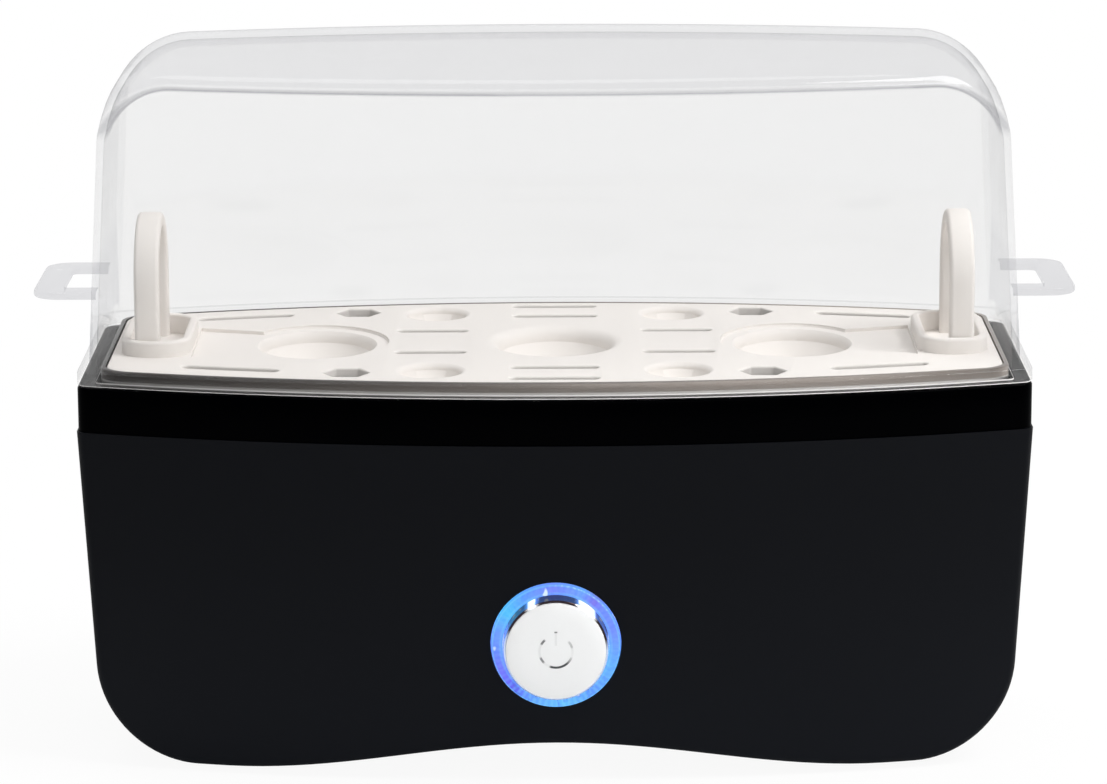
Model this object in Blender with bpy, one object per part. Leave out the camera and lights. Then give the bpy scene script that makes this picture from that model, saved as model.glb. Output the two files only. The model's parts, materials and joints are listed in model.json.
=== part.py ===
"""Countertop electric egg boiler: black body, steel water dish, moulded egg tray, clear lid and lit button.

Metres. The origin is the centre of the rest plane, +X is the user's right, +Y the back and +Z up.
"""

import math

import bmesh
import bpy
from mathutils import Matrix, Vector

# Fits and cuts
GAP = 0.0003
OVERRUN = 0.01
EMBED = 0.0008

# Facets
SHEET_STEPS = 7
CORNER_STEPS = 3
ROUND_STEPS = 24
SMALL_STEPS = 10
WAVE_STEPS = 20
PROFILE_STEPS = 6

# Body outline in plan: two straight sides, with the front and back bowed
BODY_HALF_WIDTH = 0.125
BODY_HALF_DEPTH = 0.060
FRONT_BULGE = 0.019
BODY_CORNER = 0.003
SHEET_RADIUS = (BODY_HALF_WIDTH**2 + FRONT_BULGE**2) / (2 * FRONT_BULGE)

# Lower housing
HOUSING_BOTTOM = 0.0015
HOUSING_TOP = 0.0913
HOUSING_WALL = 0.0025
HOUSING_PROUD = 0.0003
HOUSING_TAPER = math.radians(3.0)
BOTTOM_CORNER = 0.027
CORNER_MEET = math.radians(8.0)
WAVE_RISE = 0.0086
WAVE_END_INSET = 0.010
WAVE_HALF_LENGTH = BODY_HALF_WIDTH - BOTTOM_CORNER - WAVE_END_INSET

# Gloss bezel, dish and seal
BEZEL_HEIGHT = 0.0116
BEZEL_EDGE = 0.0006
BEZEL_RIM_WIDTH = 0.0048
BEZEL_SHELF_DROP = 0.0029
BEZEL_SHELF_INSET = 0.0084
BEZEL_SHELF_THICKNESS = 0.002
BEZEL_SKIRT_WALL = 0.0024
BEZEL_SKIRT_DEPTH = 0.0093
BEZEL_SKIRT_CLEARANCE = 0.0004
SEAL_THICKNESS = 0.0012
SEAL_OUTER_INSET = 0.0059
SEAL_INNER_INSET = 0.0081
DISH_SHEET = 0.001
DISH_LIP_INSET = 0.0055
DISH_LIP_SHEET = 0.0012
DISH_LIP_HEIGHT = 0.0047
DISH_BASIN_CLEARANCE = 0.0006
DISH_BASIN_DEPTH = 0.0161
DISH_FLOOR_EDGE = 0.003
DISH_CORNER = 0.006

# Clear lid
LID_FLANGE = 0.0038
LID_WALL = 0.0019
LID_WALL_INSET = 0.0029
LID_HEIGHT = 0.0786
LID_CROWN = 0.0008
LID_CROWN_SLOPE = 0.018
LID_DRAFT = math.radians(3.0)
LID_SIDE_RADIUS = 0.020
LID_FRONT_RADIUS = 0.005
LID_CORNER = 0.007
LID_ARC_SHARES = (0.0, 0.2, 0.4, 0.56, 0.69, 0.81, 0.91, 1.0)
HANDLE_REACH = 0.0179
HANDLE_HALF_LENGTH = 0.022
HANDLE_BAR = 0.0078
HANDLE_CORNER = 0.007
HANDLE_THICKNESS = 0.002
HANDLE_RISE = 0.0155

# Egg tray
TRAY_INSET = 0.0083
TRAY_PLATE = 0.0024
TRAY_SKIRT_WALL = 0.0015
TRAY_SKIRT_DEPTH = 0.0034
TRAY_CORNER = 0.006
CUP_SPACING_SHARE = 0.512
CUP_SPACING = BODY_HALF_WIDTH * CUP_SPACING_SHARE
CUP_RIM_RADIUS = 0.0177
CUP_THROAT_RADIUS = 0.0152
CUP_FLOOR_RADIUS = 0.0085
CUP_DEPTH = 0.0128
CUP_WALL = 0.0016
CUP_STRETCH_SHARE = 1.16
CUP_DRAIN_RADIUS = 0.0028
BOWL_X_SHARE = 0.26
BOWL_X = BODY_HALF_WIDTH * BOWL_X_SHARE
BOWL_EDGE_INSET = 0.0223
BOWL_Y = BODY_HALF_DEPTH - BOWL_EDGE_INSET
BOWL_RIM_RADIUS = 0.0095
BOWL_THROAT_RADIUS = 0.0078
BOWL_FLOOR_RADIUS = 0.0042
BOWL_DEPTH = 0.0068
BOWL_STRETCH_SHARE = 1.1
RIM_STEPS = 2
RECESS_DEPTH = 0.0009
RECESS_MARGIN = 0.0012
NECK_CUP_HALF_WIDTH = 0.0135
NECK_COLLAR_HALF_WIDTH = 0.019
HEX_X_SHARE = 0.436
HEX_X = BODY_HALF_WIDTH * HEX_X_SHARE
HEX_EDGE_INSET = 0.0202
HEX_Y = BODY_HALF_DEPTH - HEX_EDGE_INSET
HEX_RADIUS = 0.0062
SLOT_WIDTH = 0.0036
SLOT_STEPS = 3
MIDDLE_SLOT_HALF_LENGTH = 0.0116
MIDDLE_SLOT_EDGE_INSET = 0.0258
MIDDLE_SLOT_INNER_Y = BODY_HALF_DEPTH - MIDDLE_SLOT_EDGE_INSET
MIDDLE_SLOT_PITCH = 0.0136
SIDE_SLOT_X_SHARE = 0.2656
SIDE_SLOT_X = BODY_HALF_WIDTH * SIDE_SLOT_X_SHARE
SIDE_SLOT_HALF_LENGTH = 0.0077
SIDE_SLOT_Y_SHARE = 0.2367
SIDE_SLOT_Y = BODY_HALF_DEPTH * SIDE_SLOT_Y_SHARE
END_SLOT_WIDTH = 0.0042
END_SLOT_INSET = 0.0166
END_SLOT_OUTER_INSET = 0.0290
END_SLOT_LENGTH = 0.0215
END_SLOT_OUTER_X = BODY_HALF_WIDTH - END_SLOT_OUTER_INSET
COLLAR_INSET = 0.0188
COLLAR_X = BODY_HALF_WIDTH - COLLAR_INSET
COLLAR_HALF_WIDTH = 0.0093
COLLAR_HALF_LENGTH = 0.0205
COLLAR_CORNER = 0.0085
COLLAR_WALL = 0.0023
COLLAR_HEIGHT = 0.0042
PIT_DEPTH = 0.0012
ARCH_INSET = 0.0167
ARCH_X = BODY_HALF_WIDTH - ARCH_INSET
ARCH_WIDTH = 0.0066
ARCH_HALF_SPAN = 0.0178
ARCH_BAND = 0.0042
ARCH_HEIGHT = 0.0355
ARCH_STEPS = 10
ARCH_GUSSET_LENGTH = 0.0065
ARCH_GUSSET_HEIGHT = 0.0085

# Lit button on the front, built round its own axis, which leans with the wall
BUTTON_Z = 0.0375
BUTTON_TRAVEL = 0.0015
CAP_RADIUS = 0.0127
CAP_PROUD = 0.0034
CAP_CROWN = 0.0004
CAP_CROWN_SHARE = 0.75
CAP_SKIRT = 0.0016
CAP_DEPTH = 0.0046
CAP_STEM_RADIUS = 0.0024
TRIM_WALL = 0.0006
TRIM_SHORT = 0.0005
TRIM_FLANGE_REACH = 0.0016
TRIM_FLANGE = 0.0013
RING_BORE_CLEARANCE = 0.0004
RING_RADIUS = 0.0168
RING_PROUD = 0.0010
RING_EDGE = 0.0008
RING_FLANGE_REACH = 0.0022
RING_FLANGE = 0.0018

# Control board behind the button
BOARD_SETBACK = 0.018
BOARD_THICKNESS = 0.0016
BOARD_HALF_WIDTH = 0.032
BOARD_COVER_GAP = 0.0052
BOARD_CORNER = 0.002
BOARD_POST_X = 0.026
BOARD_POST_RADIUS = 0.003
BOARD_SCREW_RADIUS = 0.0009
BOARD_SCREW_HEAD_RADIUS = 0.0021
BOARD_SCREW_HEAD = 0.0014
BOARD_SCREW_GRIP = 0.007
SWITCH_HALF_WIDTH = 0.006
SWITCH_HEIGHT = 0.0062
PLUNGER_RADIUS = 0.0017
PLUNGER_PROUD = 0.002
PLUNGER_LENGTH = 0.006
LED_CIRCLE = 0.0176
LED_RADIUS = 0.0015
LED_HEIGHT = 0.0052
BUZZER_RADIUS = 0.0048
BUZZER_HEIGHT = 0.0042
BUZZER_X = 0.014
RELAY_X = -0.013
RELAY_HALF_WIDTH = 0.008
RELAY_HALF_HEIGHT = 0.006
RELAY_DEPTH = 0.011

# Heater under the dish
HEATER_PLATE_HALF_LENGTH = 0.060
HEATER_PLATE_HALF_WIDTH = 0.026
HEATER_PLATE_THICKNESS = 0.005
HEATER_PLATE_CORNER = 0.010
ELEMENT_RADIUS = 0.0032
ELEMENT_HALF_PITCH = 0.014
ELEMENT_END_INSET = 0.010
ELEMENT_HALF_LENGTH = HEATER_PLATE_HALF_LENGTH - ELEMENT_END_INSET
ELEMENT_BEND_STEPS = 8
BAR_SHEET = 0.0015
BAR_HALF_WIDTH = 0.005
BAR_SPAN_INSET = 0.025
BAR_HALF_SPAN = BODY_HALF_WIDTH - BAR_SPAN_INSET
BAR_END_REACH = 0.0195
STUD_CLEARANCE = 0.008
STUD_X = HEATER_PLATE_HALF_LENGTH + STUD_CLEARANCE
STUD_RADIUS = 0.002
STUD_OVERHANG = 0.002
NUT_RADIUS = 0.004
NUT_HEIGHT = 0.0037
THERMOSTAT_X = 0.020
THERMOSTAT_RADIUS = 0.008
THERMOSTAT_STEP = 0.001
FUSE_X = -0.025
FUSE_RADIUS = 0.002
FUSE_HALF_LENGTH = 0.007

# Bottom cover, feet and screws
COVER_RISE = 0.0028
COVER_THICKNESS = 0.0024
COVER_END_GAP = 0.0042
COVER_CORNER = 0.006
COVER_SIDE_GAP = 0.0006
VENT_HALF_LENGTH = 0.009
VENT_WIDTH = 0.0026
VENT_PITCH = 0.008
VENT_COUNT = 5
FOOT_SCREW_PITCH_X = 0.008
FOOT_SCREW_PITCH_Y = 0.0143
FOOT_RADIUS = 0.007
FOOT_EDGE = 0.0008
FOOT_PEG_RADIUS = 0.0025
FOOT_CLEARANCE = 0.0006
SCREW_END_INSET = 0.0145
SCREW_INSET = 0.0053
SCREW_RADIUS = 0.0012
SCREW_HEAD_RADIUS = 0.0028
SCREW_HEAD = 0.0017
SCREW_GRIP = 0.010
BOSS_RADIUS = 0.004
BOSS_HEIGHT = 0.016
BOSS_CLEARANCE = 0.0006

# Cord gland at the back, terminal block and inner leads
GLAND_Z = 0.030
GLAND_BORE_RADIUS = 0.0036
GLAND_NECK_RADIUS = 0.0051
GLAND_COLLAR_RADIUS = 0.0076
GLAND_COLLAR = 0.0020
GLAND_NOSE = 0.0018
GLAND_EDGE = 0.0006
GLAND_SLEEVE = 0.006
TERMINAL_Y = 0.022
TERMINAL_HALF_LENGTH = 0.012
TERMINAL_HALF_WIDTH = 0.008
TERMINAL_HEIGHT = 0.011
TERMINAL_FUNNEL_RADIUS = 0.0022
TERMINAL_FUNNEL_DEPTH = 0.004
TERMINAL_PITCH = 0.0075
LEAD_RADIUS = 0.0009
LEAD_SIDES = 2
LEAD_STEPS = 6
LEAD_SLACK = 0.020
LEAD_RETURN_X = 0.0217
LEAD_CLEARANCE = 0.0008

# Heights that follow from the sizes above
BEZEL_BOTTOM = HOUSING_TOP + GAP
BEZEL_TOP = BEZEL_BOTTOM + BEZEL_HEIGHT
SHELF_TOP = BEZEL_TOP - BEZEL_SHELF_DROP
LEDGE_BOTTOM = SHELF_TOP + SEAL_THICKNESS + 2 * GAP
LEDGE_TOP = LEDGE_BOTTOM + DISH_SHEET
DISH_LIP_TOP = LEDGE_BOTTOM + DISH_LIP_HEIGHT
DISH_BOTTOM = LEDGE_BOTTOM - DISH_BASIN_DEPTH
FLANGE_BOTTOM = BEZEL_TOP + GAP
FLANGE_TOP = FLANGE_BOTTOM + LID_FLANGE
TRAY_BOTTOM = LEDGE_TOP + GAP
TRAY_TOP = TRAY_BOTTOM + TRAY_SKIRT_DEPTH
SKIRT_BOTTOM = BEZEL_BOTTOM - BEZEL_SKIRT_DEPTH
SKIRT_INSET = HOUSING_WALL - HOUSING_PROUD + BEZEL_SKIRT_CLEARANCE
PLATE_TOP = DISH_BOTTOM - GAP
PLATE_BOTTOM = PLATE_TOP - HEATER_PLATE_THICKNESS
ELEMENT_Z = PLATE_BOTTOM - GAP - ELEMENT_RADIUS
BAR_TOP = ELEMENT_Z - ELEMENT_RADIUS - GAP
COVER_CREST = HOUSING_BOTTOM + WAVE_RISE + COVER_RISE + COVER_THICKNESS
BOARD_HALF_HEIGHT = BUTTON_Z - COVER_CREST - BOARD_COVER_GAP
CORNER_Z = HOUSING_BOTTOM + BOTTOM_CORNER
CORNER_TAPER = (HOUSING_TOP - CORNER_Z) * math.tan(HOUSING_TAPER) - HOUSING_PROUD
CORNER_X = BODY_HALF_WIDTH - CORNER_TAPER - BOTTOM_CORNER * math.cos(CORNER_MEET)
CORNER_REACH = math.sqrt((BOTTOM_CORNER - HOUSING_WALL) ** 2 - (BOTTOM_CORNER - COVER_RISE) ** 2)
COVER_HALF_LENGTH = CORNER_X + CORNER_REACH - COVER_END_GAP
SCREW_X = COVER_HALF_LENGTH - SCREW_END_INSET
FOOT_X = SCREW_X - FOOT_SCREW_PITCH_X


def make_material(name, colour, roughness, metallic=0.0, alpha=1.0):
    """A Principled material of one colour."""
    material = bpy.data.materials.new(name)
    material.use_nodes = True
    shader = material.node_tree.nodes["Principled BSDF"]
    shader.inputs["Base Color"].default_value = (*colour, 1.0)
    shader.inputs["Roughness"].default_value = roughness
    shader.inputs["Metallic"].default_value = metallic
    shader.inputs["Alpha"].default_value = alpha
    material.diffuse_color = (*colour, alpha)
    return material


def plan_outline(x_inset, y_inset, corner_radius):
    """Points round the bowed body outline, drawn in by two insets, anticlockwise from the front centre."""
    sheet = SHEET_RADIUS - y_inset
    centre_y = SHEET_RADIUS - BODY_HALF_DEPTH
    swing = sheet - corner_radius
    corner_x = BODY_HALF_WIDTH - x_inset - corner_radius
    lean = math.asin(corner_x / swing)
    corner_y = centre_y - swing * math.cos(lean)
    quarter = []
    for step in range(SHEET_STEPS + 1):
        turn = lean * step / SHEET_STEPS
        quarter.append((sheet * math.sin(turn), centre_y - sheet * math.cos(turn)))
    for step in range(1, CORNER_STEPS + 1):
        turn = lean + (math.pi / 2 - lean) * step / CORNER_STEPS
        across, ahead = corner_radius * math.sin(turn), corner_radius * math.cos(turn)
        quarter.append((corner_x + across, corner_y - ahead))
    right = quarter + [(x, -y) for x, y in reversed(quarter)]
    left = [(-x, y) for x, y in reversed(right[1:-1])]
    return right + left


def sheet_y(x, inset=0.0):
    """Distance of the back sheet from the middle plane at x, drawn in by an inset."""
    return math.sqrt((SHEET_RADIUS - inset) ** 2 - x**2) - SHEET_RADIUS + BODY_HALF_DEPTH


def taper_inset(z):
    """How far the housing's outer face lies inside the body outline at height z."""
    return (HOUSING_TOP - z) * math.tan(HOUSING_TAPER) - HOUSING_PROUD


def wave_height(x):
    """Height of the housing's wavy bottom edge at x."""
    if abs(x) >= WAVE_HALF_LENGTH:
        return HOUSING_BOTTOM
    return HOUSING_BOTTOM + WAVE_RISE * (1 + math.cos(math.pi * x / WAVE_HALF_LENGTH)) / 2


def arc_points(centre, radius, start, end, steps):
    """Points on an arc, both ends included."""
    turns = [start + (end - start) * step / steps for step in range(steps + 1)]
    return [(centre[0] + radius * math.cos(turn), centre[1] + radius * math.sin(turn)) for turn in turns]


def rounded_box(half_x, half_y, radius, centre=(0.0, 0.0)):
    """Outline of a rectangle with round corners."""
    points = []
    for number, (side_x, side_y) in enumerate(((1, 1), (-1, 1), (-1, -1), (1, -1))):
        corner = (centre[0] + side_x * (half_x - radius), centre[1] + side_y * (half_y - radius))
        start = number * math.pi / 2
        points += arc_points(corner, radius, start, start + math.pi / 2, CORNER_STEPS)
    return points


def capsule(line, width):
    """Outline of a slot with round ends along a line of points."""
    half = width / 2
    points = []
    for places in ([Vector(place) for place in line], [Vector(place) for place in line[::-1]]):
        for before, place, after in zip(places, places[1:], places[2:]):
            along = (after - before).normalized()
            points.append((place.x + along.y * half, place.y - along.x * half))
        way = places[-1] - places[-2]
        heading = math.atan2(way.y, way.x)
        points += arc_points(places[-1], half, heading - math.pi / 2, heading + math.pi / 2, SLOT_STEPS)
    return points


def loft(shape, rings, closed=False):
    """Joins rings of equal point counts into the bmesh, capped unless the sweep is closed."""
    rows = [[shape.verts.new(point) for point in ring] for ring in rings]
    pairs = list(zip(rows, rows[1:]))
    if closed:
        pairs.append((rows[-1], rows[0]))
    for lower, upper in pairs:
        for index in range(len(lower)):
            after = (index + 1) % len(lower)
            shape.faces.new((lower[index], lower[after], upper[after], upper[index]))
    if not closed:
        shape.faces.new(rows[0])
        shape.faces.new(rows[-1])


def prism(shape, outline, bottom, top):
    """A straight extrusion of an outline in plan."""
    loft(shape, [[(x, y, height) for x, y in outline] for height in (bottom, top)])


def front_prism(shape, outline, half_depth):
    """A straight extrusion, from front to back, of an outline in X and Z."""
    loft(shape, [[(x, y, z) for x, z in outline] for y in (-half_depth, half_depth)])


def cylinder(radius, low, high):
    """Profile of a round bar."""
    return [(0.0, low), (radius, low), (radius, high), (0.0, high)]


def lathe(shape, profile, steps=ROUND_STEPS, place=(0.0, 0.0, 0.0), stretch=1.0):
    """Turns a profile of (radius, height) about Z. A closed solid needs both its ends on the axis."""
    turns = [math.pi * (2 * step + 1) / steps for step in range(steps)]
    rows = []
    for radius, height in profile:
        if radius == 0:
            rows.append([shape.verts.new((place[0], place[1], place[2] + height))])
            continue
        rows.append(
            [
                shape.verts.new(
                    (
                        place[0] + radius * math.cos(turn),
                        place[1] + radius * math.sin(turn) * stretch,
                        place[2] + height,
                    )
                )
                for turn in turns
            ]
        )
    pairs = list(zip(rows, rows[1:]))
    if profile[0][0] > 0:
        pairs.append((rows[-1], rows[0]))
    for lower, upper in pairs:
        for index in range(steps):
            after = (index + 1) % steps
            corners = [lower[index % len(lower)], lower[after % len(lower)]]
            corners += [upper[after % len(upper)], upper[index % len(upper)]]
            shape.faces.new(list(dict.fromkeys(corners)))


def box(shape, low, high):
    """A plain box between two corners."""
    outline = [(low[0], low[1]), (high[0], low[1]), (high[0], high[1]), (low[0], high[1])]
    prism(shape, outline, low[2], high[2])


def add_object(name, shape, material=None, matrix=None, smooth=True):
    """Turns a bmesh into an object of the scene."""
    bmesh.ops.recalc_face_normals(shape, faces=shape.faces)
    mesh = bpy.data.meshes.new(name)
    shape.to_mesh(mesh)
    shape.free()
    if smooth:
        mesh.shade_smooth()
        mesh.set_sharp_from_angle(angle=math.radians(32.0))
    if material:
        mesh.materials.append(material)
    made = bpy.data.objects.new(name, mesh)
    if matrix:
        made.matrix_world = matrix
    bpy.context.scene.collection.objects.link(made)
    return made


def add_helper(name, shape, matrix=None):
    """A shape that cuts or joins another and isn't a piece itself."""
    helper = add_object(name, shape, matrix=matrix, smooth=False)
    helper.hide_render = True
    helper.display_type = "WIRE"
    return helper


def boolean(target, helper, operation):
    """Adds a Boolean modifier that uses a helper."""
    modifier = target.modifiers.new(f"{operation.lower()} {helper.name}", "BOOLEAN")
    modifier.operation = operation
    modifier.solver = "EXACT"
    modifier.object = helper


def wall_frame(x, z, side):
    """Frame on the housing's outer face, with local Z pointing out of the front (-1) or the back (1)."""
    y = side * (sheet_y(x) - taper_inset(z))
    lean = Matrix.Rotation(-side * (math.pi / 2 + HOUSING_TAPER), 4, "X")
    return Matrix.Translation((x, y, z)) @ lean


def front_profile(wall, open_bottom):
    """Front outline of the housing, moved in by a wall, either with its wavy edge or open below."""
    radius = BOTTOM_CORNER - wall
    corner_x = CORNER_X - wall * (1 - math.cos(CORNER_MEET))
    right = arc_points((corner_x, CORNER_Z), radius, -math.pi / 2, -CORNER_MEET, PROFILE_STEPS)
    way = math.pi / 2 - CORNER_MEET
    rise = HOUSING_TOP + OVERRUN - right[-1][1]
    right.append((right[-1][0] + rise / math.tan(way), right[-1][1] + rise))
    if open_bottom:
        middle = [(-corner_x, HOUSING_BOTTOM - OVERRUN), (corner_x, HOUSING_BOTTOM - OVERRUN)]
    else:
        places = [WAVE_HALF_LENGTH * (2 * step / WAVE_STEPS - 1) for step in range(WAVE_STEPS + 1)]
        middle = [(x, wave_height(x)) for x in places]
    left = [(-x, z) for x, z in reversed(right)]
    return left + middle + right


def housing_loft(shape, wall, top):
    """The housing's tapered body, moved in by a wall."""
    rings = []
    for z in (HOUSING_BOTTOM - OVERRUN, top):
        inset = taper_inset(z) + wall
        rings.append([(x, y, z) for x, y in plan_outline(inset, inset, BODY_CORNER)])
    loft(shape, rings)


def screw_places():
    """Where the four base screws stand, with the side of each."""
    y = sheet_y(SCREW_X) - taper_inset(HOUSING_BOTTOM) - HOUSING_WALL - SCREW_INSET
    return [(side_x * SCREW_X, side_y * y, side_y) for side_y in (-1, 1) for side_x in (-1, 1)]


def make_lower_housing(material):
    """Satin shell with bowed faces, wavy bottom edge, screw bosses, board posts and two round openings."""
    shape = bmesh.new()
    housing_loft(shape, 0.0, HOUSING_TOP)
    housing = add_object("lower_housing", shape, material)

    shape = bmesh.new()
    front_prism(shape, front_profile(0.0, False), BODY_HALF_DEPTH + OVERRUN)
    boolean(housing, add_helper("housing_front_profile", shape), "INTERSECT")

    shape = bmesh.new()
    housing_loft(shape, HOUSING_WALL, HOUSING_TOP + OVERRUN)
    cavity = add_helper("housing_cavity", shape)
    shape = bmesh.new()
    front_prism(shape, front_profile(HOUSING_WALL, True), BODY_HALF_DEPTH + OVERRUN)
    boolean(cavity, add_helper("housing_cavity_profile", shape), "INTERSECT")
    boolean(housing, cavity, "DIFFERENCE")

    bosses = bmesh.new()
    holes = bmesh.new()
    boss_bottom = wave_height(SCREW_X) + COVER_RISE + COVER_THICKNESS + BOSS_CLEARANCE
    boss_top = boss_bottom + BOSS_HEIGHT
    root = sheet_y(SCREW_X) - taper_inset(boss_top) - HOUSING_WALL + EMBED
    for x, y, side in screw_places():
        outline = arc_points((x, y), BOSS_RADIUS, 0.0, -side * math.pi, PROFILE_STEPS)
        outline += [(x - BOSS_RADIUS, side * root), (x + BOSS_RADIUS, side * root)]
        prism(bosses, outline, boss_bottom, boss_top)
        hole = cylinder(SCREW_RADIUS + GAP, boss_bottom - OVERRUN, boss_bottom + SCREW_GRIP)
        lathe(holes, hole, SMALL_STEPS, (x, y, 0.0))
    boolean(housing, add_helper("screw_bosses", bosses), "UNION")
    boolean(housing, add_helper("screw_boss_holes", holes), "DIFFERENCE")

    front = wall_frame(0.0, BUTTON_Z, -1)
    posts = bmesh.new()
    post_holes = bmesh.new()
    sag = BODY_HALF_DEPTH - sheet_y(BOARD_POST_X)
    for x in (-BOARD_POST_X, BOARD_POST_X):
        post = cylinder(BOARD_POST_RADIUS, -BOARD_SETBACK + GAP, -sag - HOUSING_WALL + EMBED)
        lathe(posts, post, SMALL_STEPS, (x, 0.0, 0.0))
        grip = BOARD_SETBACK - BOARD_SCREW_GRIP
        hole = cylinder(BOARD_SCREW_RADIUS + GAP, -BOARD_SETBACK - OVERRUN, -grip)
        lathe(post_holes, hole, SMALL_STEPS, (x, 0.0, 0.0))
    boolean(housing, add_helper("board_posts", posts, front), "UNION")
    boolean(housing, add_helper("board_post_holes", post_holes, front), "DIFFERENCE")

    for name, radius, frame in (
        ("button_hole", RING_RADIUS + GAP, front),
        ("gland_hole", GLAND_NECK_RADIUS + GAP, wall_frame(0.0, GLAND_Z, 1)),
    ):
        shape = bmesh.new()
        lathe(shape, cylinder(radius, -OVERRUN, OVERRUN))
        boolean(housing, add_helper(name, shape, frame), "DIFFERENCE")


def make_bottom_cover(material):
    """Underside cover that follows the wavy edge, with vents and holes for feet and screws."""
    inset = taper_inset(HOUSING_BOTTOM) + HOUSING_WALL + COVER_SIDE_GAP
    outline = plan_outline(BODY_HALF_WIDTH - COVER_HALF_LENGTH, inset, COVER_CORNER)
    shape = bmesh.new()
    prism(shape, outline, HOUSING_BOTTOM, COVER_CREST + OVERRUN)
    cover = add_object("bottom_cover", shape, material)

    reach = COVER_HALF_LENGTH + OVERRUN
    places = [reach * (2 * step / WAVE_STEPS - 1) for step in range(WAVE_STEPS + 1)]
    lower = [(x, wave_height(x) + COVER_RISE) for x in places]
    upper = [(x, z + COVER_THICKNESS) for x, z in reversed(lower)]
    shape = bmesh.new()
    front_prism(shape, lower + upper, BODY_HALF_DEPTH + OVERRUN)
    boolean(cover, add_helper("cover_wave", shape), "INTERSECT")

    shape = bmesh.new()
    top = COVER_CREST + OVERRUN
    for x, y, _ in screw_places():
        lathe(shape, cylinder(SCREW_RADIUS + GAP, 0.0, top), SMALL_STEPS, (x, y, 0.0))
    for x, y in foot_places():
        lathe(shape, cylinder(FOOT_PEG_RADIUS + GAP, 0.0, top), SMALL_STEPS, (x, y, 0.0))
    for number in range(VENT_COUNT):
        y = VENT_PITCH * (number - (VENT_COUNT - 1) / 2)
        for side in (-1, 1):
            line = [(side * (FOOT_X / 2) + shift, y) for shift in (-VENT_HALF_LENGTH, VENT_HALF_LENGTH)]
            prism(shape, capsule(line, VENT_WIDTH), 0.0, top)
    boolean(cover, add_helper("cover_holes", shape), "DIFFERENCE")


def foot_places():
    """Centres of the four feet, beside the screws."""
    return [(math.copysign(FOOT_X, x), y - side * FOOT_SCREW_PITCH_Y) for x, y, side in screw_places()]


def make_feet(material):
    """Rubber feet whose pegs push up into the bottom cover."""
    seat = wave_height(FOOT_X + FOOT_RADIUS) + COVER_RISE - FOOT_CLEARANCE
    peg_top = wave_height(FOOT_X) + COVER_RISE + COVER_THICKNESS
    profile = [(0.0, 0.0), (FOOT_RADIUS - FOOT_EDGE, 0.0), (FOOT_RADIUS, FOOT_EDGE), (FOOT_RADIUS, seat)]
    profile += [(FOOT_PEG_RADIUS, seat), (FOOT_PEG_RADIUS, peg_top), (0.0, peg_top)]
    for number, (x, y) in enumerate(foot_places(), 1):
        shape = bmesh.new()
        lathe(shape, profile, 2 * SMALL_STEPS)
        add_object(f"foot_{number}", shape, material, Matrix.Translation((x, y, 0.0)))


def make_base_screws(material):
    """Pan-head screws that hold the bottom cover to the housing's bosses."""
    seat = wave_height(SCREW_X + SCREW_HEAD_RADIUS) + COVER_RISE - GAP
    grip = seat + COVER_THICKNESS + SCREW_GRIP
    profile = [(0.0, seat - SCREW_HEAD), (SCREW_HEAD_RADIUS, seat - SCREW_HEAD), (SCREW_HEAD_RADIUS, seat)]
    profile += [(SCREW_RADIUS, seat), (SCREW_RADIUS, grip), (0.0, grip)]
    for number, (x, y, _) in enumerate(screw_places(), 1):
        shape = bmesh.new()
        lathe(shape, profile, SMALL_STEPS)
        add_object(f"base_screw_{number}", shape, material, Matrix.Translation((x, y, 0.0)))


def swept(name, profile, corner_radius, material, closed=True):
    """Sweeps a profile of (inset, height) round the body outline."""
    shape = bmesh.new()
    rings = []
    for inset, z in profile:
        outline = plan_outline(inset, inset, corner_radius)
        rings.append([(x, y, z) for x, y in outline])
    loft(shape, rings, closed)
    return add_object(name, shape, material)


def make_upper_bezel(material):
    """Gloss band with a seat for the lid, a shelf for the dish and a skirt inside the housing."""
    shelf_bottom = SHELF_TOP - BEZEL_SHELF_THICKNESS
    skirt_foot = taper_inset(SKIRT_BOTTOM) + HOUSING_WALL + BEZEL_SKIRT_CLEARANCE
    skirt_inner = skirt_foot + BEZEL_SKIRT_WALL
    profile = [
        (0.0, BEZEL_BOTTOM),
        (0.0, BEZEL_TOP - BEZEL_EDGE),
        (BEZEL_EDGE, BEZEL_TOP),
        (BEZEL_RIM_WIDTH, BEZEL_TOP),
        (BEZEL_RIM_WIDTH, SHELF_TOP),
        (BEZEL_SHELF_INSET, SHELF_TOP),
        (BEZEL_SHELF_INSET, shelf_bottom),
        (skirt_inner, shelf_bottom),
        (skirt_inner, SKIRT_BOTTOM),
        (skirt_foot, SKIRT_BOTTOM),
        (SKIRT_INSET, BEZEL_BOTTOM),
    ]
    swept("upper_bezel", profile, BODY_CORNER, material)


def make_dish_seal(material):
    """Flat silicone ring between the bezel's shelf and the dish."""
    bottom = SHELF_TOP + GAP
    top = bottom + SEAL_THICKNESS
    profile = [(SEAL_OUTER_INSET, bottom), (SEAL_OUTER_INSET, top), (SEAL_INNER_INSET, top)]
    swept("dish_seal", profile + [(SEAL_INNER_INSET, bottom)], BODY_CORNER, material)


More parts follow.
